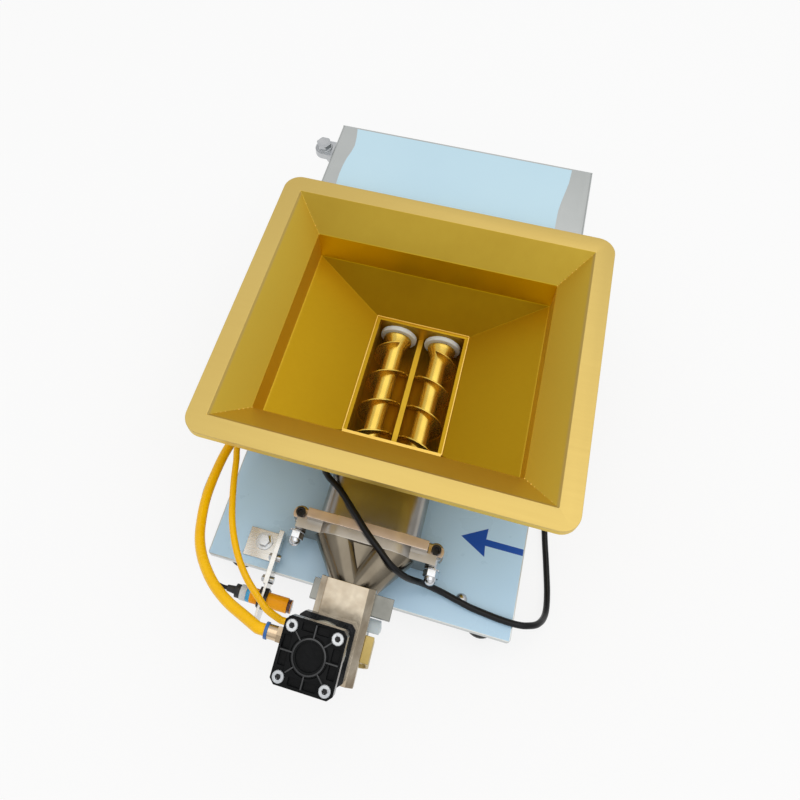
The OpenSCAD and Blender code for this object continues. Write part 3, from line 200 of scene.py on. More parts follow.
# %% Helpers for node trees
def fill(tree, node, inputs):
    """Each of these inputs of the node takes a value, or a link from another node's output."""
    for key, value in dict(inputs).items():
        if isinstance(value, bpy.types.NodeSocket):
            tree.links.new(value, node.inputs[key])
        else:
            node.inputs[key].default_value = value
    return node


def put(tree, kind, inputs=(), **settings):
    """A new node with these settings and inputs."""
    node = tree.nodes.new(kind)
    for key, value in settings.items():
        setattr(node, key, value)
    return fill(tree, node, inputs)


def maths(tree):
    """A short way to write sums in this tree: an operation, then values or outputs."""
    return lambda operation, *values: put(
        tree, "ShaderNodeMath", enumerate(values), operation=operation).outputs[0]


def noise(tree, scale, detail, vector):
    return put(tree, "ShaderNodeTexNoise", {
        "Scale": scale, "Detail": detail, "Vector": vector}).outputs["Fac"]


def mix(tree, factor, a, b, blend="MIX"):
    return put(tree, "ShaderNodeMix", {"Factor": factor, "A": a, "B": b},
               data_type="RGBA", blend_type=blend).outputs["Result"]


def by_height(tree, place, levels):
    """A ramp of colours along Z, from pairs of a height and a colour."""
    low, high = levels[0][0], levels[-1][0]
    height = put(tree, "ShaderNodeSeparateXYZ", {0: place}).outputs["Z"]
    share = put(tree, "ShaderNodeMapRange", {"Value": height, "From Min": low, "From Max": high})
    ramp = put(tree, "ShaderNodeValToRGB", {"Fac": share.outputs["Result"]})
    stops = ramp.color_ramp.elements
    while len(stops) < len(levels):
        stops.new(0.5)
    for stop, (z, tone) in zip(stops, levels):
        stop.position = (z - low) / (high - low)
        stop.color = (*tone, 1)
    return ramp.outputs["Color"]


# %% A maker of finishes
def finish(name, colour, shade, metallic, rough, swing, cloud, grain, grain_scale, bump, depth,
           coat=0.0, specular=0.5, dents=0.0, subsurface=0.0, levels=None):
    """Two colours, how metallic it is, its roughness and swing, the size of its clouds, and then
    the grain: which way it is drawn out, its scale, its relief and the depth of that."""
    material = bpy.data.materials.new(name)
    material.use_nodes = True
    tree = material.node_tree
    place = put(tree, "ShaderNodeTexCoord").outputs["Object"]
    drawn_out = put(tree, "ShaderNodeMapping", {"Vector": place, "Scale": grain})
    clouds = noise(tree, cloud, 3, place)
    fine = noise(tree, grain_scale, 4, drawn_out.outputs["Vector"])
    spread = put(tree, "ShaderNodeMapRange", {"Value": clouds, "From Min": 0.3, "From Max": 0.7})
    base = mix(tree, spread.outputs["Result"], (*colour, 1), (*shade, 1))
    if levels:
        base = mix(tree, 1, base, by_height(tree, place, levels), "MULTIPLY")
    roughness = put(tree, "ShaderNodeMapRange", {
        "Value": fine, "From Min": 0.25, "From Max": 0.75,
        "To Min": rough - swing, "To Max": rough + swing})
    relief = put(tree, "ShaderNodeBump", {"Strength": bump, "Distance": depth, "Height": fine})
    if dents:
        waves = noise(tree, cloud * 1.7, 2, place)
        soft = put(tree, "ShaderNodeBump", {"Strength": dents, "Distance": 0.002, "Height": waves})
        fill(tree, relief, {"Normal": soft.outputs["Normal"]})
    fill(tree, tree.nodes["Principled BSDF"], {
        "Base Color": base, "Metallic": metallic, "Roughness": roughness.outputs["Result"],
        "Specular IOR Level": specular, "Coat Weight": coat, "Coat Roughness": 0.12,
        "Subsurface Weight": subsurface, "Subsurface Radius": (0.01, 0.005, 0.001),
        "Normal": relief.outputs["Normal"]})
    return material


# %% [markdown]
# ## What each surface is
# The hopper is steel with a satin gold coating: light that bounces between its walls is filtered
# twice, which is why the inside looks deeper than the lip. That shade is painted into the colour
# here, by height: the lower funnel is painted darker and the upright band lighter.
# The barrel and nozzle are polished castings that took on a bronze tone. The nozzle is painted
# darker, a painted shade for the darker surroundings its cones mirror, and the tops of the flanges
# are painted paler, a painted highlight. The new sheets still wear their pale blue shipping film.

# %% Metals
even = (1, 1, 1)
brushed_along_x, brushed_along_y, drawn_along_z = (0.03, 1, 1), (1, 0.03, 1), (1, 1, 0.1)
# The gold's colour by height is painted light and shade: the lower funnel is painted darker and the
# upright band lighter.
gold_painted_light_and_shade = (
    (0.1155, (0.62, 0.39, 0.030)), (0.1175, (0.46, 0.27, 0.006)), (0.1630, (0.50, 0.30, 0.009)),
    (0.1650, (0.98, 0.70, 0.070)), (0.2130, (0.98, 0.70, 0.070)), (0.2150, (0.73, 0.50, 0.055)),
    (0.2465, (0.76, 0.54, 0.070)), (0.2488, (0.66, 0.485, 0.15)))
# The walls at the rear that face the front take a painted shade: a darker gold, by height.
gold_painted_shade_at_rear = (
    (0.1175, (0.30, 0.165, 0.001)), (0.1630, (0.30, 0.165, 0.001)), (0.1650, (0.88, 0.62, 0.003)),
    (0.2130, (0.92, 0.66, 0.004)), (0.2150, (0.50, 0.34, 0.038)), (0.2470, (0.54, 0.37, 0.045)))
M = {
    "gold_sheet": finish(
        "satin_gold_sheet", (1, 1, 1), (0.96, 0.94, 0.90), 0.93, 0.44, 0.04, 5,
        brushed_along_x, 260, 0.08, 0.00005, levels=gold_painted_light_and_shade),
    "gold_shaded": finish(
        "gold_in_shade", (1, 1, 1), (0.90, 0.87, 0.80), 0.93, 0.43, 0.05, 9,
        drawn_along_z, 90, 0.08, 0.00006, levels=gold_painted_shade_at_rear),
    "gold_chute": finish(
        "pale_gold", (0.48, 0.36, 0.13), (0.42, 0.31, 0.10), 0.8, 0.38, 0.04, 30,
        even, 300, 0.08, 0.00005),
    "gold_edge": finish(
        "bright_gold_edge", (0.86, 0.58, 0.13), (0.80, 0.52, 0.10), 0.8, 0.40, 0.04, 20,
        even, 300, 0.05, 0.00004),
    "gold_polished": finish(
        "polished_gold", (0.76, 0.54, 0.11), (0.66, 0.44, 0.08), 0.93, 0.27, 0.04, 30,
        brushed_along_y, 500, 0.05, 0.00004),
    "casting": finish(
        "bronze_toned_casting", (0.37, 0.35, 0.32), (0.28, 0.26, 0.23), 1, 0.25, 0.02, 22,
        brushed_along_y, 260, 0.01, 0.00004, dents=0.05),
    # The nozzle's casting is painted darker and browner than the barrel's: painted shade for the darker
    # surroundings that its cones mirror.
    "casting_painted_shade": finish(
        "brown_casting_painted_shade", (0.22, 0.19, 0.145), (0.155, 0.13, 0.095), 1, 0.23, 0.02, 26,
        brushed_along_y, 260, 0.01, 0.00004, dents=0.07),
    # The tops of the flanges are painted paler than the casting: a painted highlight.
    "barrel_flange": finish(
        "flange_top_painted_light", (0.78, 0.64, 0.54), (0.66, 0.53, 0.44), 1, 0.30, 0.04, 40,
        brushed_along_x, 260, 0.02, 0.00004),
    "nozzle_flange": finish(
        "nozzle_flange_top_painted_light", (0.52, 0.49, 0.45), (0.42, 0.39, 0.35), 1, 0.30, 0.04, 40,
        brushed_along_x, 260, 0.02, 0.00004),
    "warm_sheet": finish(
        "warm_bracket_sheet", (0.60, 0.53, 0.42), (0.36, 0.29, 0.205), 1, 0.22, 0.04, 34,
        (1, 0.05, 1), 200, 0.02, 0.00004, dents=0.10),
    "steel_sheet": finish(
        "brushed_steel_sheet", (0.60, 0.62, 0.61), (0.52, 0.54, 0.53), 1, 0.34, 0.08, 9,
        brushed_along_y, 420, 0.2, 0.00008),
    "plain_steel": finish(
        "plain_steel", (0.72, 0.71, 0.68), (0.58, 0.57, 0.54), 1, 0.27, 0.03, 32,
        brushed_along_x, 300, 0.01, 0.00004),
    "zinc": finish(
        "bright_zinc", (0.60, 0.61, 0.62), (0.46, 0.48, 0.50), 1, 0.22, 0.05, 70,
        even, 600, 0.03, 0.00004),
    "chrome": finish(
        "ground_chrome", (0.66, 0.67, 0.69), (0.58, 0.59, 0.61), 1, 0.12, 0.03, 40,
        drawn_along_z, 900, 0.03, 0.00003),
    "brass": finish(
        "bright_fitting_metal", (0.72, 0.56, 0.38), (0.62, 0.46, 0.30), 1, 0.20, 0.06, 80,
        even, 500, 0.1, 0.00005),
    "milled_alu": finish(
        "milled_aluminium", (0.24, 0.24, 0.22), (0.15, 0.15, 0.135), 1, 0.24, 0.04, 30,
        (1, 1, 0.06), 200, 0.02, 0.00004, dents=0.05),
    "tube_alu": finish(
        "anodised_tube", (0.66, 0.68, 0.63), (0.58, 0.60, 0.55), 0.55, 0.38, 0.05, 30,
        (1, 1, 0.05), 600, 0.08, 0.00006),
    "black_cap": finish(
        "black_anodised_cap", (0.004, 0.0045, 0.005), (0.010, 0.011, 0.013), 0, 0.22, 0.08, 60,
        even, 500, 0.10, 0.0001, coat=0.05, specular=0.28, dents=0.3),
    "cap_painted_shade": finish(
        "black_cap_painted_shade", (0.0015, 0.0018, 0.002), (0.003, 0.0034, 0.004), 0, 0.30, 0.06, 60,
        even, 500, 0.10, 0.0001, specular=0.12, dents=0.2),
    "cap_rib": finish(
        "black_cap_rib", (0.006, 0.007, 0.008), (0.014, 0.015, 0.017), 0, 0.18, 0.06, 60,
        even, 500, 0.06, 0.0001, coat=0.3, specular=0.5),
    "black_bolt": finish(
        "black_oxide", (0.010, 0.010, 0.011), (0.03, 0.028, 0.028), 0.5, 0.36, 0.1, 90,
        even, 700, 0.2, 0.00008),
    "gear_steel": finish(
        "hobbed_gear", (0.42, 0.43, 0.44), (0.34, 0.35, 0.36), 1, 0.32, 0.07, 50,
        (1, 0.1, 1), 600, 0.2, 0.0001),
}
print(len(M), "metals")

# %% Plastics, paint and rubber
M |= {
    "cast_paint": finish(
        "grey_cast_paint", (0.30, 0.33, 0.36), (0.24, 0.27, 0.30), 0, 0.48, 0.08, 30,
        even, 160, 0.35, 0.0003),
    "blue_paint": finish(
        "blue_motor_paint", (0.10, 0.20, 0.34), (0.07, 0.15, 0.27), 0, 0.34, 0.06, 30,
        even, 260, 0.25, 0.0002, coat=0.3),
    "film": finish(
        "blue_film", (0.55, 0.78, 0.97), (0.51, 0.74, 0.94), 0, 0.30, 0.07, 7,
        even, 24, 0.12, 0.0006, coat=0.1, dents=0.08),
    "film_top": finish(
        "pale_blue_film", (0.54, 0.74, 0.84), (0.51, 0.71, 0.82), 0, 0.34, 0.06, 6,
        even, 20, 0.12, 0.0006, coat=0.2, dents=0.08),
    "arrow": finish(
        "printed_blue", (0.006, 0.080, 0.42), (0.005, 0.070, 0.39), 0, 0.34, 0.06, 18,
        even, 120, 0.1, 0.00005, coat=0.1, specular=0.3),
    "white_seal": finish(
        "white_seal", (0.66, 0.69, 0.70), (0.60, 0.63, 0.64), 0, 0.42, 0.08, 60,
        even, 400, 0.15, 0.0001, subsurface=0.05),
    "pale_guide": finish(
        "pale_guide", (0.58, 0.66, 0.69), (0.52, 0.61, 0.65), 0, 0.40, 0.08, 40,
        drawn_along_z, 420, 0.2, 0.0001, subsurface=0.05),
    "hose": finish(
        "yellow_hose", (1.0, 0.56, 0.002), (0.97, 0.52, 0.002), 0, 0.26, 0.05, 40,
        even, 300, 0.04, 0.00005, coat=0.05, specular=0.25),
    "black_plastic": finish(
        "black_plastic", (0.012, 0.012, 0.013), (0.022, 0.022, 0.024), 0, 0.42, 0.08, 60,
        even, 900, 0.3, 0.0001),
    "cord": finish(
        "black_cord", (0.004, 0.004, 0.005), (0.008, 0.008, 0.009), 0, 0.32, 0.08, 50,
        even, 700, 0.10, 0.0001, specular=0.26),
    "rubber": finish(
        "black_rubber", (0.014, 0.014, 0.014), (0.026, 0.026, 0.026), 0, 0.62, 0.08, 50,
        even, 500, 0.3, 0.0002),
    "orange": finish(
        "orange_barrel", (1.0, 0.42, 0.002), (0.97, 0.38, 0.002), 0, 0.34, 0.06, 60,
        even, 500, 0.05, 0.00005, coat=0.03, specular=0.2),
    "clear_blue": finish(
        "clear_blue_ring", (0.02, 0.36, 0.66), (0.02, 0.32, 0.60), 0, 0.18, 0.04, 60,
        even, 300, 0.05, 0.00004, coat=0.6),
    "ring_blue": finish(
        "blue_release_ring", (0.02, 0.15, 0.45), (0.02, 0.12, 0.38), 0, 0.30, 0.05, 60,
        even, 400, 0.1, 0.00005, coat=0.3),
    "lens": finish(
        "dark_red_lens", (0.07, 0.004, 0.006), (0.05, 0.003, 0.004), 0, 0.12, 0.03, 60,
        even, 300, 0.03, 0.00003, coat=0.8),
    "green": finish(
        "green_button", (0.03, 0.28, 0.06), (0.02, 0.22, 0.05), 0, 0.28, 0.05, 60,
        even, 300, 0.06, 0.00005, coat=0.4),
}
print(len(M), "finishes in all")

# %% [markdown]
# ## Edges that a hand would feel
# A CAD solid has knife-sharp edges, and no real part does: its edges catch a thin line of light.
# So the pieces that show are copied, their loose triangles are joined into flat faces, and a
# Bevel modifier rounds every corner. The copy then stands for the CAD solid.


# %% A maker of rounded copies
def keep(piece, node, material):
    """The piece takes its finish and rides where the node rides."""
    piece.data.materials.clear()
    piece.data.materials.append(M[material])
    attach(piece, body_of[node])
    return piece


def baked(piece):
    """The piece as a plain mesh, with its modifiers worked in."""
    seen = piece.evaluated_get(bpy.context.evaluated_depsgraph_get())
    mesh = bpy.data.meshes.new_from_object(seen)
    piece.modifiers.clear()
    piece.data = mesh
    return piece


def new_piece(name, bm):
    mesh = bpy.data.meshes.new(name)
    bm.to_mesh(mesh)
    bm.free()
    return add_object(name, mesh)


def smooth_by_angle(bm, degrees):
    for f in bm.faces:
        f.smooth = True
    for e in bm.edges:
        e.smooth = len(e.link_faces) == 2 and e.calc_face_angle(0) < radians(degrees)


def box_and_volume(mesh):
    bm = bmesh.new()
    bm.from_mesh(mesh)
    volume = bm.calc_volume()
    bm.free()
    ends = [f(v.co[k] for v in mesh.vertices) for k in range(3) for f in (min, max)]
    return ends, volume


# Where the barrel's flange ends, how near two points are one, and how flat an edge is none
flange_end, weld, flat = -0.161, 0.00001, radians(0.5)
# How far a bevel may move the box, and to what shares it may bring the volume
corner_limit, least_volume, most_volume = 0.0004, 0.93, 1.002


def folded_over(piece, source):
    """Whether a bevel has thrown a corner out of the solid: the box or the volume has changed."""
    seen = piece.evaluated_get(bpy.context.evaluated_depsgraph_get())
    (ends, volume), (old_ends, old_volume) = box_and_volume(seen.data), source
    moved = max(abs(a - b) for a, b in zip(ends, old_ends))
    return moved > corner_limit or not least_volume < volume / old_volume < most_volume


def rounded(node, width_mm, material, segments=2, angle=32):
    bm = bmesh.new()
    bm.from_mesh(nodes[node].data)
    bmesh.ops.remove_doubles(bm, verts=bm.verts, dist=weld)
    bmesh.ops.dissolve_limit(bm, angle_limit=flat, verts=bm.verts, edges=bm.edges)
    if node == "barrel":
        # The flange takes a finish of its own, so the faces are parted where it ends
        bmesh.ops.bisect_plane(bm, geom=bm.verts[:] + bm.edges[:] + bm.faces[:], dist=weld,
                               plane_co=(0, flange_end, 0), plane_no=(0, 1, 0))
    smooth_by_angle(bm, angle)
    piece = new_piece(node + "_rounded", bm)
    if width_mm:
        bevel = piece.modifiers.new("bevel", "BEVEL")
        bevel.width = width_mm * MM
        bevel.segments = segments
        bevel.limit_method = "ANGLE"
        bevel.angle_limit = radians(angle)
        bevel.use_clamp_overlap = False
        bevel.harden_normals = True
        bevel.miter_outer = "MITER_ARC"
        if folded_over(piece, box_and_volume(piece.data)):
            bevel.use_clamp_overlap = True
            print(node, "is rounded with the clamp on")
        baked(piece)
    keep(piece, node, material)
    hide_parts(node)
    return piece


# %% The pieces that show
rounding = {
    "base_tray": (0.6, "steel_sheet"), "rear_housing": (0, "steel_sheet"),
    "rear_cover": (0, "steel_sheet"), "hopper": (0.45, "gold_sheet"), "trough": (0.4, "gold_sheet"),
    "barrel": (0.7, "casting"), "nozzle": (0.6, "casting_painted_shade"), "outlet_block": (0.6, "milled_alu"),
    "guide_block": (0.5, "pale_guide"), "outlet_chute": (0.5, "gold_chute"),
    "cutter_bracket": (0.6, "warm_sheet"), "cylinder_bottom_cap": (0.5, "black_cap"),
    "cylinder_top_cap": (0.45, "black_cap"), "cylinder_tube": (0.3, "tube_alu"),
    "tie_rods": (0.35, "zinc"), "side_lug": (0.6, "zinc"), "flange_pins": (0.35, "black_bolt"),
    "left_eye_bolt": (0.4, "zinc"), "right_eye_bolt": (0.4, "zinc"), "left_nut": (0.35, "chrome"),
    "right_nut": (0.35, "chrome"), "base_screws": (0.2, "zinc"), "sensor_bracket": (0.4, "plain_steel"),
    "sensor_screws": (0.3, "zinc"), "sensor_nuts": (0.4, "black_plastic"),
    "photo_sensor": (0.3, "orange"), "top_fitting": (0.3, "brass"), "bottom_fitting": (0.3, "brass"),
    "solenoid_valve": (0.5, "milled_alu"), "valve_coil": (0.6, "black_plastic"),
    "valve_ports": (0.25, "brass"), "knife": (0, "chrome"), "knife_holder": (0.4, "plain_steel"),
    "plug": (1.2, "black_plastic"), "cable_glands": (0.4, "black_plastic"),
    "screw_seals": (0.4, "white_seal"), "speed_knob": (0.4, "black_plastic"),
    "support_saddles": (0.4, "plain_steel"), "bearing_block": (0.6, "cast_paint"),
    "rubber_feet": (0.4, "rubber"),
}
piece_of = {node: rounded(node, width, material) for node, (width, material) in rounding.items()}


def second_finish(node, material, chosen):
    """The chosen faces of a rounded piece take another finish."""
    mesh = piece_of[node].data
    mesh.materials.append(M[material])
    for face in mesh.polygons:
        if chosen(face):
            face.material_index = 1


# Faces at the rear that look to the front take the gold with painted shade.
second_finish("hopper", "gold_shaded", lambda f: f.normal.y < -0.25 and f.center.y > 0.12)
# The faces of the flanges that look up take the paler colour: a painted highlight.
for node, start, end in (("barrel", -0.1735, flange_end), ("nozzle", -0.1855, -0.1725)):
    second_finish(node, node + "_flange", lambda f: start < f.center.y < end
                  and f.normal.z > 0.5 and f.center.z > 0.100)
print(len(piece_of), "rounded pieces,", sum(len(p.data.polygons) for p in piece_of.values()), "faces")

# %% [markdown]
# ## The solids that stay as they are
# The drive sits closed up in the housing: shafts, bearings, gears, reducer and motor. Their CAD
# shapes are right, so only their finish is set.

# %% Finishes of the inner pieces
inside = {
    "cover_screws": "zinc", "bearings": "chrome", "left_shaft": "chrome", "right_shaft": "chrome",
    "left_gear": "gear_steel", "right_gear": "gear_steel", "reducer": "cast_paint",
    "reducer_hub": "plain_steel", "motor": "blue_paint", "fan_cowl": "blue_paint",
    "piston": "milled_alu", "piston_rod": "chrome", "start_button": "green",
}
for node, material in inside.items():
    for slot in nodes[node].material_slots:
        slot.material = M[material]
print(len(inside), "inner pieces")

# %% [markdown]
# ## Cords, dressed
# Each hose takes its finish and rides on the machine in place of its CAD solid.

# %% The cords take their places
for piece, node, material in ((power_cord, "power_cord", "cord"), (thick_hose, "thick_hose", "hose"),
                              (thin_hose, "thin_hose", "hose"), (sensor_cable, "sensor_cable", "cord")):
    keep(piece, node, material)
    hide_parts(node)
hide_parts("cord_coil")

# %% [markdown]
# ## Feed screws with Geometry Nodes
# A screw flight follows a rule: a small section carried round and along an axis at once. So it is
# a grid whose every point is moved by that rule. One direction of the grid runs along the helix,
# the other runs round the section. The inputs are the radii, the pitch and the hand: +1 for the
# left screw and -1 for its mirror image, so that the two push forward as a pair.


# %% Helpers for Geometry Nodes
FLOAT, INT, MATERIAL, VECTOR = (
    "NodeSocket" + kind for kind in ("Float", "Int", "Material", "Vector"))


def new_tree(name, inputs):
    """A tree with these inputs: the tree, the outputs of its input node, and its maths."""
    tree = bpy.data.node_groups.new(name, "GeometryNodeTree")
    tree.interface.new_socket("Geometry", in_out="OUTPUT", socket_type="NodeSocketGeometry")
    for label, (kind, value) in inputs.items():
        socket = tree.interface.new_socket(label, in_out="INPUT", socket_type=kind)
        if value is not None:
            socket.default_value = value
    return tree, put(tree, "NodeGroupInput").outputs, maths(tree)


def finish_tree(tree, source, given):
    """The tree ends in the source, realized and with its finish."""
    real = put(tree, "GeometryNodeRealizeInstances", {0: source})
    paint = put(tree, "GeometryNodeSetMaterial", {
        "Geometry": real.outputs[0], "Material": given["Finish"]})
    put(tree, "NodeGroupOutput", {"Geometry": paint.outputs[0]})


def set_on_points(tree, points, shape, given, **more):
    """The tree ends in one copy of the shape on each of the points."""
    copies = put(tree, "GeometryNodeInstanceOnPoints", {"Points": points, "Instance": shape, **more})
    finish_tree(tree, copies.outputs[0], given)


def grown(name, tree, values):
    """The tree's result, with these inputs, as a plain mesh object."""
    piece = add_object(name, bpy.data.meshes.new(name))
    modifier = piece.modifiers.new("tree", "NODES")
    modifier.node_group = tree
    for item in tree.interface.items_tree:
        if item.in_out == "INPUT" and item.name in values:
            modifier[item.identifier] = values[item.name]
    return baked(piece)


# %% The tree of a helical flight
flight_tree, given, m = new_tree("helical_flight", {
    "Inner radius": (FLOAT, 0.012), "Outer radius": (FLOAT, 0.027),
    "Root thickness": (FLOAT, 0.0046), "Edge thickness": (FLOAT, 0.0024),
    "Pitch": (FLOAT, 0.045), "Crest": (FLOAT, 0.093), "First turn": (FLOAT, -5.8),
    "Last turn": (FLOAT, 0.04), "Hand": (FLOAT, 1.0), "Steps": (INT, 600), "Finish": (MATERIAL, None)})
section_points, squareness = 17, 0.35


def squared_off(value):
    """A sine or cosine drawn towards a square, so that the section has flat sides and soft edges."""
    return m("MULTIPLY", m("SIGN", value), m("POWER", m("ABSOLUTE", value), squareness))


inner, outer, root, edge, first, last = (given[label] for label in (
    "Inner radius", "Outer radius", "Root thickness", "Edge thickness", "First turn", "Last turn"))
grid = put(flight_tree, "GeometryNodeMeshGrid", {
    "Size X": 1, "Size Y": 1, "Vertices X": given["Steps"], "Vertices Y": section_points})
position = put(flight_tree, "GeometryNodeInputPosition").outputs[0]
spot = put(flight_tree, "ShaderNodeSeparateXYZ", {0: position}).outputs
along = m("ADD", spot["X"], 0.5)
around = m("MULTIPLY", m("ADD", spot["Y"], 0.5), 2 * pi)
turn = m("ADD", first, m("MULTIPLY", along, m("SUBTRACT", last, first)))
angle = m("MULTIPLY", turn, 2 * pi)
half_height = m("MULTIPLY", m("SUBTRACT", outer, inner), 0.5)
radius = m("ADD", m("ADD", inner, half_height),
           m("MULTIPLY", half_height, squared_off(m("COSINE", around))))
share = m("DIVIDE", m("SUBTRACT", radius, inner), m("MULTIPLY", half_height, 2))
thick = m("ADD", root, m("MULTIPLY", share, m("SUBTRACT", edge, root)))
aside = m("MULTIPLY", m("MULTIPLY", thick, 0.5), squared_off(m("SINE", around)))
where = put(flight_tree, "ShaderNodeCombineXYZ", {
    "X": m("MULTIPLY", m("MULTIPLY", radius, m("SINE", angle)), given["Hand"]),
    "Y": m("ADD", m("ADD", given["Crest"], m("MULTIPLY", turn, given["Pitch"])), aside),
    "Z": m("MULTIPLY", radius, m("COSINE", angle))})
bend = put(flight_tree, "GeometryNodeSetPosition", {
    "Geometry": grid.outputs["Mesh"], "Position": where.outputs[0]})
close = put(flight_tree, "GeometryNodeMergeByDistance", {
    "Geometry": bend.outputs[0], "Distance": 0.00002})
finish_tree(flight_tree, close.outputs[0], given)
print("flight tree has", len(flight_tree.nodes), "nodes")

# %% [markdown]
# The core of a screw is turned on a lathe: a profile swept round the axis. It widens in a cone to
# the collar that meets the white seal. Flight and core become one piece for each screw.


# %% A lathe
def lathe(bm, profile_mm, sides, ring=False):
    """Rings of (radius, place along Y) round the Y axis, with flat ends or closed into a ring."""
    turns = [2 * pi * k / sides for k in range(sides)]
    rings = [[bm.verts.new((r * MM * sin(a), y * MM, r * MM * cos(a))) for a in turns]
             for r, y in profile_mm]
    for a, b in zip(rings, rings[1:] + rings[:1] if ring else rings[1:]):
        for k in range(sides):
            j = (k + 1) % sides
            bm.faces.new((a[k], a[j], b[j], b[k]))
    if not ring:
        bm.faces.new(rings[0])
        bm.faces.new(rings[-1])


# %% Both screws
# How high the axes of the screws and of the nozzle lie
axis_height = 88
core = [(3.0, -183), (4, -182.6), (12.4, -169.4), (13, -168.4), (13, 93.6), (13.4, 95), (16.5, 101),
        (19.6, 106.2), (20, 107.2), (20, 111.1), (19.5, 111.6)]
for node, x, hand in (("left_screw", -0.032, 1.0), ("right_screw", 0.032, -1.0)):
    flight = grown(node + "_flight", flight_tree, {"Hand": hand, "Finish": M["gold_polished"]})
    bm = bmesh.new()
    bm.from_mesh(flight.data)
    bpy.data.objects.remove(flight)
    bmesh.ops.holes_fill(bm, edges=bm.edges, sides=20)
    lathe(bm, core, 72)
    bmesh.ops.recalc_face_normals(bm, faces=bm.faces)
    smooth_by_angle(bm, 35)
    bmesh.ops.transform(bm, matrix=Matrix.Translation((x, 0, axis_height * MM)), verts=bm.verts)
    screw = new_piece(node + "_turned", bm)
    keep(screw, node, "gold_polished")
    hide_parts(node)
    print(screw.name, len(screw.data.polygons), "faces")

# %% [markdown]
# ## Protective film
# New sheet steel is sold under a thin blue film, and this machine still has it. On the housing it
# covers the top but stops short of both sides, where it was cut by hand: the ends wave a little
# and show bare steel. The film is a sheet a tenth of a millimetre thick, with its ends drawn from
# the photograph. On the base it reaches the edges, with a printed arrow.


# %% A thin sheet from an outline
def thin_sheet(name, outline_mm, z_mm, thickness_mm, node, material):
    bm = bmesh.new()
    face = bm.faces.new([bm.verts.new((x * MM, y * MM, z_mm * MM)) for x, y in outline_mm])
    bm.normal_update()
    if face.normal.z < 0:
        face.normal_flip()
    grown_up = bmesh.ops.extrude_face_region(bm, geom=[face])
    lifted = [v for v in grown_up["geom"] if isinstance(v, bmesh.types.BMVert)]
    bmesh.ops.translate(bm, verts=lifted, vec=(0, 0, thickness_mm * MM))
    bmesh.ops.recalc_face_normals(bm, faces=bm.faces)
    return keep(new_piece(name, bm), node, material)


# %% The film on the housing
housing_left = [(-158, 206), (-159, 225), (-160.5, 251), (-161.5, 270), (-161, 285), (-159.5, 300),
                (-156.5, 314), (-155, 327), (-157, 344), (-160, 359)]
housing_right = [(154, 359), (153.5, 347), (153, 335), (150, 316), (147, 297), (145.3, 283), (145, 270),
                 (145, 251), (147, 228), (148, 206)]
thin_sheet("housing_film", housing_left + housing_right, 235.05, 0.12, "rear_housing", "film_top")

# %% The film on the base, and its arrow
film_edge = [(-193.5, -232.5), (193.5, -232.5), (193.5, 204), (-193.5, 204)]
thin_sheet("base_film", film_edge, 50.03, 0.09, "base_tray", "film")
arrow_outline = [(113, -125.5), (145.5, -107.5), (145, -121.5), (193.2, -121.5), (193.2, -129.8),
                 (145, -130), (146.5, -144)]
thin_sheet("printed_arrow", arrow_outline, 50.13, 0.05, "base_tray", "arrow")
print("film laid on the housing and the base")

# %% [markdown]
# ## The saddle of the nozzle
# The two cones of the nozzle are one casting, and where they part towards the flange the metal
# sags between them in a saddle. The solid leaves a wedge of air there. A thin wall is laid across
# it, above and below: a grid whose height follows the cones, a little lower in the middle.

# %% The saddle, above and below
cone_gap, cone_radius, cone_start, cone_run = (32, 4), (31.5, 21), -185.2, -52
saddle_height, saddle_sag, saddle_wall, saddle_reach, saddle_lap = 0.80, 0.05, 2, 0.6, 1.2


def saddle(name, side, steps=20, across=12):
    bm = bmesh.new()
    rows = []
    for i in range(steps + 1):
        t = saddle_reach * i / steps
        centre, radius = (a + (b - a) * t for a, b in (cone_gap, cone_radius))
        half = max(centre - radius * (1 - saddle_height ** 2) ** 0.5, 0) + saddle_lap
        y = cone_start + cone_run * t
        row = []
        for k in range(across + 1):
            x = half * (2 * k / across - 1)
            rise = radius * (saddle_height - saddle_sag * (1 - (x / half) ** 2))
            row.append(bm.verts.new((x * MM, y * MM, (axis_height + side * rise) * MM)))
        rows.append(row)
    for a, b in zip(rows, rows[1:]):
        for k in range(across):
            bm.faces.new((a[k], b[k], b[k + 1], a[k + 1]))
    bm.normal_update()
    bm.faces.ensure_lookup_table()
    if bm.faces[0].normal.z * side < 0:
        bmesh.ops.reverse_faces(bm, faces=bm.faces)
    smooth_by_angle(bm, 60)
    piece = new_piece(name, bm)
    wall = piece.modifiers.new("wall", "SOLIDIFY")
    wall.thickness = saddle_wall * MM
    wall.offset = -1
    print(name, len(baked(piece).data.polygons), "faces")
    return keep(piece, "nozzle", "casting_painted_shade")


saddle("nozzle_saddle_above", 1)
saddle("nozzle_saddle_below", -1)

# %% [markdown]
# ## Small things that repeat
# Four small forms repeat in a ring or a row: the knurls round the heads of the socket screws, the
# ribs of the cylinder's cap, the thread of the sensor, and the weld dots in the corners of the
# hopper. Each is one little shape set on many points by a node tree.

# %% A ring of ribs, as on a knurled screw head
ring_tree, given, m = new_tree("ring_of_ribs", {
    "Count": (INT, 24), "Ring radius": (FLOAT, 0.0056), "Rib radius": (FLOAT, 0.0005),
    "Rib height": (FLOAT, 0.005), "Foot": (FLOAT, 0.0), "Finish": (MATERIAL, None)})
ring = put(ring_tree, "GeometryNodeMeshCircle", {
    "Vertices": given["Count"], "Radius": given["Ring radius"]})
rib = put(ring_tree, "GeometryNodeMeshCylinder", {
    "Vertices": 6, "Radius": given["Rib radius"], "Depth": given["Rib height"]})
lift = put(ring_tree, "ShaderNodeCombineXYZ", {
    "Z": m("ADD", given["Foot"], m("MULTIPLY", given["Rib height"], 0.5))})
lifted = put(ring_tree, "GeometryNodeTransform", {
    "Geometry": rib.outputs["Mesh"], "Translation": lift.outputs[0]})
set_on_points(ring_tree, ring.outputs[0], lifted.outputs[0], given)


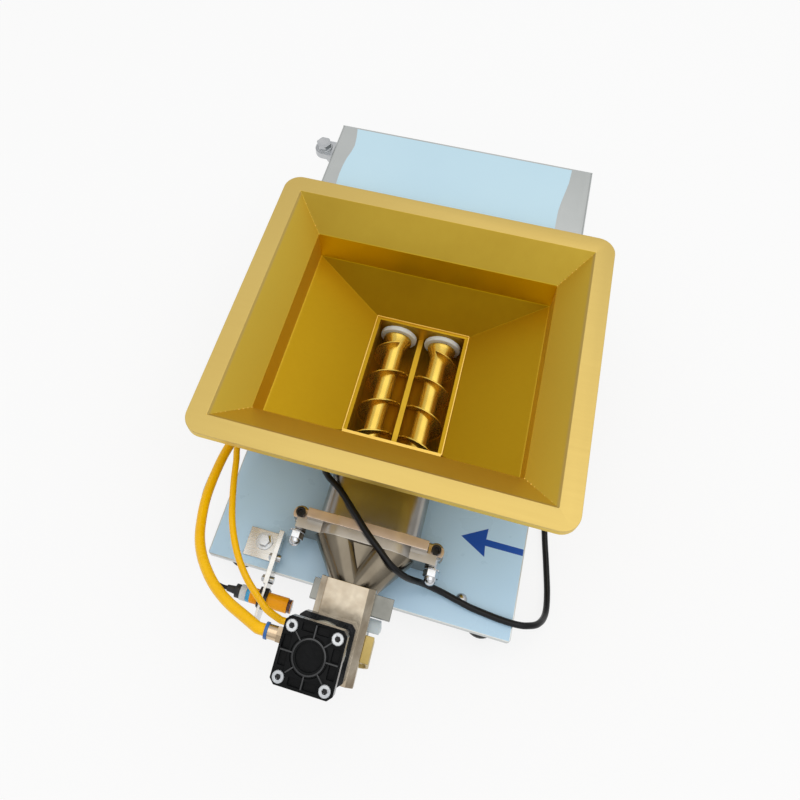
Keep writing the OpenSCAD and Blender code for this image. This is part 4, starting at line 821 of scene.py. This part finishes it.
# %% Join what the trees grew
def set_out(name, sources, matrices, node, material):
    """Copies of the source meshes at these places, as one piece; the sources go."""
    bm = bmesh.new()
    for source in sources:
        for matrix in matrices:
            start = len(bm.verts)
            bm.from_mesh(source.data)
            bm.verts.ensure_lookup_table()
            bmesh.ops.transform(bm, matrix=matrix, verts=bm.verts[start:])
        bpy.data.objects.remove(source)
    bmesh.ops.recalc_face_normals(bm, faces=bm.faces)
    smooth_by_angle(bm, 50)
    piece = keep(new_piece(name, bm), node, material)
    print(name, len(piece.data.polygons), "faces")


knife_frame = Matrix.Translation(knife_at * MM) @ Matrix.Rotation(lean, 4, "X")
cap_top, tie_reach = 0.153, 0.0235
tie_places = [knife_frame @ Matrix.Translation((x * tie_reach, y * tie_reach, cap_top))
              for x in (-1, 1) for y in (-1, 1)]
knurl = grown("knurl", ring_tree, {
    "Count": 30, "Rib radius": 0.00042, "Rib height": 0.0046, "Foot": 0.0008, "Finish": M["zinc"]})
set_out("socket_screw_knurls", [knurl], tie_places, "tie_rods", "zinc")
# Dark hexagons at the bottom of the screws' sockets: painted shade in the hollows.
bm = bmesh.new()
for place in tie_places:
    bmesh.ops.create_cone(bm, cap_ends=True, segments=6, radius1=0.0027, radius2=0.0027, depth=0.0003,
                          matrix=place @ Matrix.Translation((0, 0, 0.0022)))
keep(new_piece("socket_painted_shadows", bm), "tie_rods", "black_bolt")

# %% [markdown]
# The cap is a die casting: a raised ring round the middle and eight ribs out to the sides and the
# screws, with deep pockets between. A tree turns one box four times, once for the sides and once
# for the corners. The face between the ribs takes a painted shade, a deeper black, for the
# pockets that light hardly reaches.

# %% The ribs of the cylinder's cap
rib_tree, given, m = new_tree("radial_ribs", {
    "Count": (INT, 4), "Start radius": (FLOAT, 0.017), "End radius": (FLOAT, 0.0295),
    "Width": (FLOAT, 0.0013), "Height": (FLOAT, 0.0007), "First angle": (FLOAT, 0.0),
    "Finish": (MATERIAL, None)})
start, end = given["Start radius"], given["End radius"]
line = put(rib_tree, "GeometryNodeMeshLine", {"Count": given["Count"], "Offset": (0, 0, 0)})
size = put(rib_tree, "ShaderNodeCombineXYZ", {
    "X": m("SUBTRACT", end, start), "Y": given["Width"], "Z": given["Height"]})
box = put(rib_tree, "GeometryNodeMeshCube", {"Size": size.outputs[0]})
shift = put(rib_tree, "ShaderNodeCombineXYZ", {"X": m("MULTIPLY", m("ADD", end, start), 0.5)})
moved = put(rib_tree, "GeometryNodeTransform", {
    "Geometry": box.outputs["Mesh"], "Translation": shift.outputs[0]})
number = put(rib_tree, "GeometryNodeInputIndex").outputs[0]
turn = put(rib_tree, "ShaderNodeCombineXYZ", {
    "Z": m("ADD", given["First angle"], m("MULTIPLY", number, pi / 2))})
set_on_points(rib_tree, line.outputs[0], moved.outputs[0], given, Rotation=turn.outputs[0])
on_cap = knife_frame @ Matrix.Translation((0, 0, cap_top + 0.0003))
for name, angle, end in (("side", 0.0, 0.0295), ("corner", pi / 4, 0.0268)):
    ribs = grown("ribs", rib_tree, {"First angle": angle, "End radius": end, "Finish": M["cap_rib"]})
    set_out("cap_ribs_to_" + name, [ribs], [on_cap], "cylinder_top_cap", "cap_rib")
up_cap = knife_frame.to_3x3() @ Vector((0, 0, 1))
# The faces of the cap that look up take the painted shade.
second_finish("cylinder_top_cap", "cap_painted_shade", lambda f: f.normal.dot(up_cap) > 0.9)

# %% The thread of the sensor: fine rings along its barrel
thread_tree, given, m = new_tree("row_of_rings", {
    "Count": (INT, 30), "Start": (VECTOR, (0, 0, 0)), "Step": (VECTOR, (0.001, 0, 0)),
    "Ring radius": (FLOAT, 0.009), "Wire radius": (FLOAT, 0.0004), "Finish": (MATERIAL, None)})
line = put(thread_tree, "GeometryNodeMeshLine", {
    "Count": given["Count"], "Start Location": given["Start"], "Offset": given["Step"]})
loop, wire = (put(thread_tree, "GeometryNodeCurvePrimitiveCircle", {
    "Resolution": corners, "Radius": given[label]}).outputs[0]
    for corners, label in ((40, "Ring radius"), (5, "Wire radius")))
sweep = put(thread_tree, "GeometryNodeCurveToMesh", {"Curve": loop, "Profile Curve": wire})
across = put(thread_tree, "GeometryNodeTransform", {
    "Geometry": sweep.outputs[0], "Rotation": (0, pi / 2, 0)})
set_on_points(thread_tree, line.outputs[0], across.outputs[0], given)

sensor_axis = Vector((0, -0.268, 0.060))
threads = grown("sensor_thread", thread_tree, {
    "Count": 18, "Start": Vector((-0.1208, -0.268, 0.060)), "Step": Vector((0.0011, 0, 0)),
    "Ring radius": 0.00895, "Wire radius": 0.00042, "Finish": M["orange"]})
set_out("sensor_barrel_thread", [threads], [Matrix.Identity(4)], "photo_sensor", "orange")

# %% Weld dots in the corners of the hopper
dots_tree, given, m = new_tree("row_of_dots", {
    "Count": (INT, 14), "From": (VECTOR, (0, 0, 0)), "To": (VECTOR, (0.1, 0, 0)),
    "Dot radius": (FLOAT, 0.001), "Seed": (INT, 3), "Finish": (MATERIAL, None)})
line = put(dots_tree, "GeometryNodeMeshLine", {
    "Count": given["Count"], "Start Location": given["From"], "Offset": given["To"]},
    mode="END_POINTS")
dot = put(dots_tree, "GeometryNodeMeshIcoSphere", {"Radius": given["Dot radius"], "Subdivisions": 2})
# Of the random value's sockets, these are the ends of the range for fractions
least, most = 2, 3
chance = put(dots_tree, "FunctionNodeRandomValue", {least: 0.55, most: 1.15, "Seed": given["Seed"]})
set_on_points(dots_tree, line.outputs[0], dot.outputs["Mesh"], given, Scale=chance.outputs[1])

rim_corners = [(-200, -126.5, 249), (200, -126.5, 249), (200, 214.5, 249), (-200, 214.5, 249)]
crease_corners = [(-163, -91, 214), (163, -91, 214), (163, 175, 214), (-163, 175, 214)]
rows = [grown(f"weld_row_{number}", dots_tree, {
    "Count": 11, "From": Vector(a) * MM, "To": Vector(b) * MM, "Dot radius": 0.0011,
    "Seed": number + 3, "Finish": M["gold_edge"]})
    for number, (a, b) in enumerate(zip(rim_corners, crease_corners))]
set_out("hopper_weld_dots", rows, [Matrix.Identity(4)], "hopper", "gold_edge")

# %% The folded edge round the feed opening
box_faces = ((3, 2, 1, 0), (4, 5, 6, 7), (0, 1, 5, 4), (1, 2, 6, 5), (2, 3, 7, 6), (3, 0, 4, 7))
bm = bmesh.new()
for x0, x1, y0, y1, z0, z1 in (
        (-65.4, 65.4, -58.5, -53.2, 117.5, 123.6), (-66.6, -65.2, -53, 125, 116.8, 118.6),
        (65.2, 66.6, -53, 125, 116.8, 118.6), (-66, 66, 124.6, 126, 116.8, 118.8)):
    corners = [bm.verts.new((x * MM, y * MM, z * MM)) for z in (z0, z1) for x, y in
               ((x0, y0), (x1, y0), (x1, y1), (x0, y1))]
    for face in box_faces:
        bm.faces.new([corners[k] for k in face])
throat_edge = keep(new_piece("throat_edge", bm), "hopper", "gold_edge")
print(throat_edge.name, len(throat_edge.data.polygons), "faces")

# %% [markdown]
# ## Turned trim
# A few rings in other colours make the bought-in parts read as what they are: the blue release
# rings of the push-in fittings, the dark lens of the sensor and its clear blue cable end.


# %% Rings and caps turned on the lathe
def turned(name, profile_mm, matrix, node, material, ring=False):
    bm = bmesh.new()
    lathe(bm, profile_mm, 48, ring)
    bmesh.ops.recalc_face_normals(bm, faces=bm.faces)
    smooth_by_angle(bm, 50)
    bmesh.ops.transform(bm, matrix=matrix, verts=bm.verts)
    return keep(new_piece(name, bm), node, material)


def turned_ring(name, inner, outer, y0, y1, matrix, node, material, soft=0.25):
    """A ring with soft corners round the Y axis."""
    section = [(inner, y0), (outer - soft, y0), (outer, y0 + soft), (outer, y1 - soft),
               (outer - soft, y1), (inner, y1)]
    return turned(name, section, matrix, node, material, ring=True)


upright = Matrix.Rotation(pi / 2, 4, "X")
towards_left = Matrix.Rotation(pi / 2, 4, "Z")
at_thick, at_thin = (
    Matrix.Translation(in_knife(-32, y, w) * MM) @ Matrix.Rotation(lean, 4, "X") @ towards_left
    for y, w in ((10, 139), (14, 52)))
turned_ring("cap_ring", 15.6, 17.3, 0, 0.7, on_cap @ upright, "cylinder_top_cap", "cap_rib", 0.2)
turned_ring("release_ring_thick", 6.2, 8.4, 15.6, 18.9, at_thick, "top_fitting", "ring_blue")
turned_ring("release_ring_thin", 4.2, 7.4, 8.8, 11.9, at_thin, "bottom_fitting", "ring_blue")
for name, x, r in (("thick", -181, 6.2), ("thin", -159, 4.2)):
    on_valve = Matrix.Translation(Vector((x, -58, 88)) * MM) @ upright
    turned_ring("valve_ring_" + name, r, r + 2.4, 7.5, 9.9, on_valve, "valve_ports", "ring_blue")
along_sensor = Matrix.Translation(sensor_axis) @ Matrix.Rotation(-pi / 2, 4, "Z")
lens = [(0.5, -68.65), (6.4, -68.7), (8.1, -69.6), (8.1, -73.8), (7.9, -74.1), (0.5, -74.1)]
boot = [(0.5, -153), (3.7, -152.9), (5.8, -135.2), (0.5, -135)]
turned("sensor_lens", lens, along_sensor, "photo_sensor", "lens")
turned_ring("sensor_blue_ring", 8.4, 9.25, -127, -121.8, along_sensor, "photo_sensor", "clear_blue")
turned_ring("sensor_clear_ring", 8.4, 9.2, -134.9, -127.1, along_sensor, "photo_sensor", "white_seal")
turned("sensor_boot", boot, along_sensor, "photo_sensor", "black_plastic")
turned_ring("sensor_tail_nut", 5.3, 8.2, -141.5, -135.2, along_sensor, "photo_sensor", "black_plastic")
print("trim turned")

# %% [markdown]
# ## Floor and light
# The machine stands on white. The floor is a plain pale surface that shows white to the camera
# and still takes a soft shadow. A broad lamp above and a weaker one from the front give
# the metals something to mirror; the surroundings are lighter above than at the horizon.

# %% The floor
bm = bmesh.new()
bmesh.ops.create_grid(bm, x_segments=1, y_segments=1, size=6)
floor = new_piece("floor", bm)
paper = bpy.data.materials.new("white_paper")
paper.use_nodes = True
tree = paper.node_tree
shader = fill(tree, tree.nodes["Principled BSDF"], {
    "Base Color": (0.86, 0.86, 0.86, 1), "Roughness": 0.9, "Specular IOR Level": 0.1})
rays, m = put(tree, "ShaderNodeLightPath").outputs, maths(tree)
seen = m("MAXIMUM", m("MAXIMUM", rays["Is Camera Ray"], rays["Is Glossy Ray"]),
         rays["Is Transmission Ray"])
glow = put(tree, "ShaderNodeEmission", {"Color": (1, 1, 1, 1), "Strength": 1.0})
blend = put(tree, "ShaderNodeMixShader", {
    "Fac": m("MULTIPLY", seen, 0.8), 1: shader.outputs[0], 2: glow.outputs[0]})
fill(tree, tree.nodes["Material Output"], {"Surface": blend.outputs[0]})
floor.data.materials.append(paper)
print(floor.name, "is", paper.name)


# %% The lamps
def lamp(name, place, target, size, watts, colour):
    light = bpy.data.lights.new(name, "AREA")
    light.size = size
    light.energy = watts
    light.color = colour
    holder = add_object(name, light)
    holder.location = place
    holder.rotation_euler = (Vector(target) - Vector(place)).to_track_quat("-Z", "Y").to_euler()


machine = (0, 0, 0.12)
lamp("ceiling", (0.4, 0.1, 2.4), machine, 2.4, 14, (1.0, 0.99, 0.97))
lamp("front", (0.8, -2.2, 1.4), machine, 2.4, 5, (0.98, 0.99, 1.0))

# %% The surroundings
world = bpy.data.worlds.new("studio")
bpy.context.scene.world = world
world.use_nodes = True
tree = world.node_tree
direction = put(tree, "ShaderNodeTexCoord").outputs["Generated"]
upwards = put(tree, "ShaderNodeSeparateXYZ", {0: direction}).outputs["Z"]
sky = put(tree, "ShaderNodeValToRGB", {"Fac": upwards})
horizon, zenith = sky.color_ramp.elements
horizon.position, horizon.color = 0.0, (0.50, 0.50, 0.50, 1)
zenith.position, zenith.color = 0.75, (1, 1, 1, 1)
behind = fill(tree, tree.nodes["Background"], {"Color": sky.outputs["Color"], "Strength": 0.85})
white = put(tree, "ShaderNodeBackground", {"Color": (1, 1, 1, 1), "Strength": 1.0})
mixed = put(tree, "ShaderNodeMixShader", {
    "Fac": put(tree, "ShaderNodeLightPath").outputs["Is Camera Ray"],
    1: behind.outputs[0], 2: white.outputs[0]})
fill(tree, tree.nodes["World Output"], {"Surface": mixed.outputs[0]})
bpy.context.scene.view_settings.view_transform = "Standard"
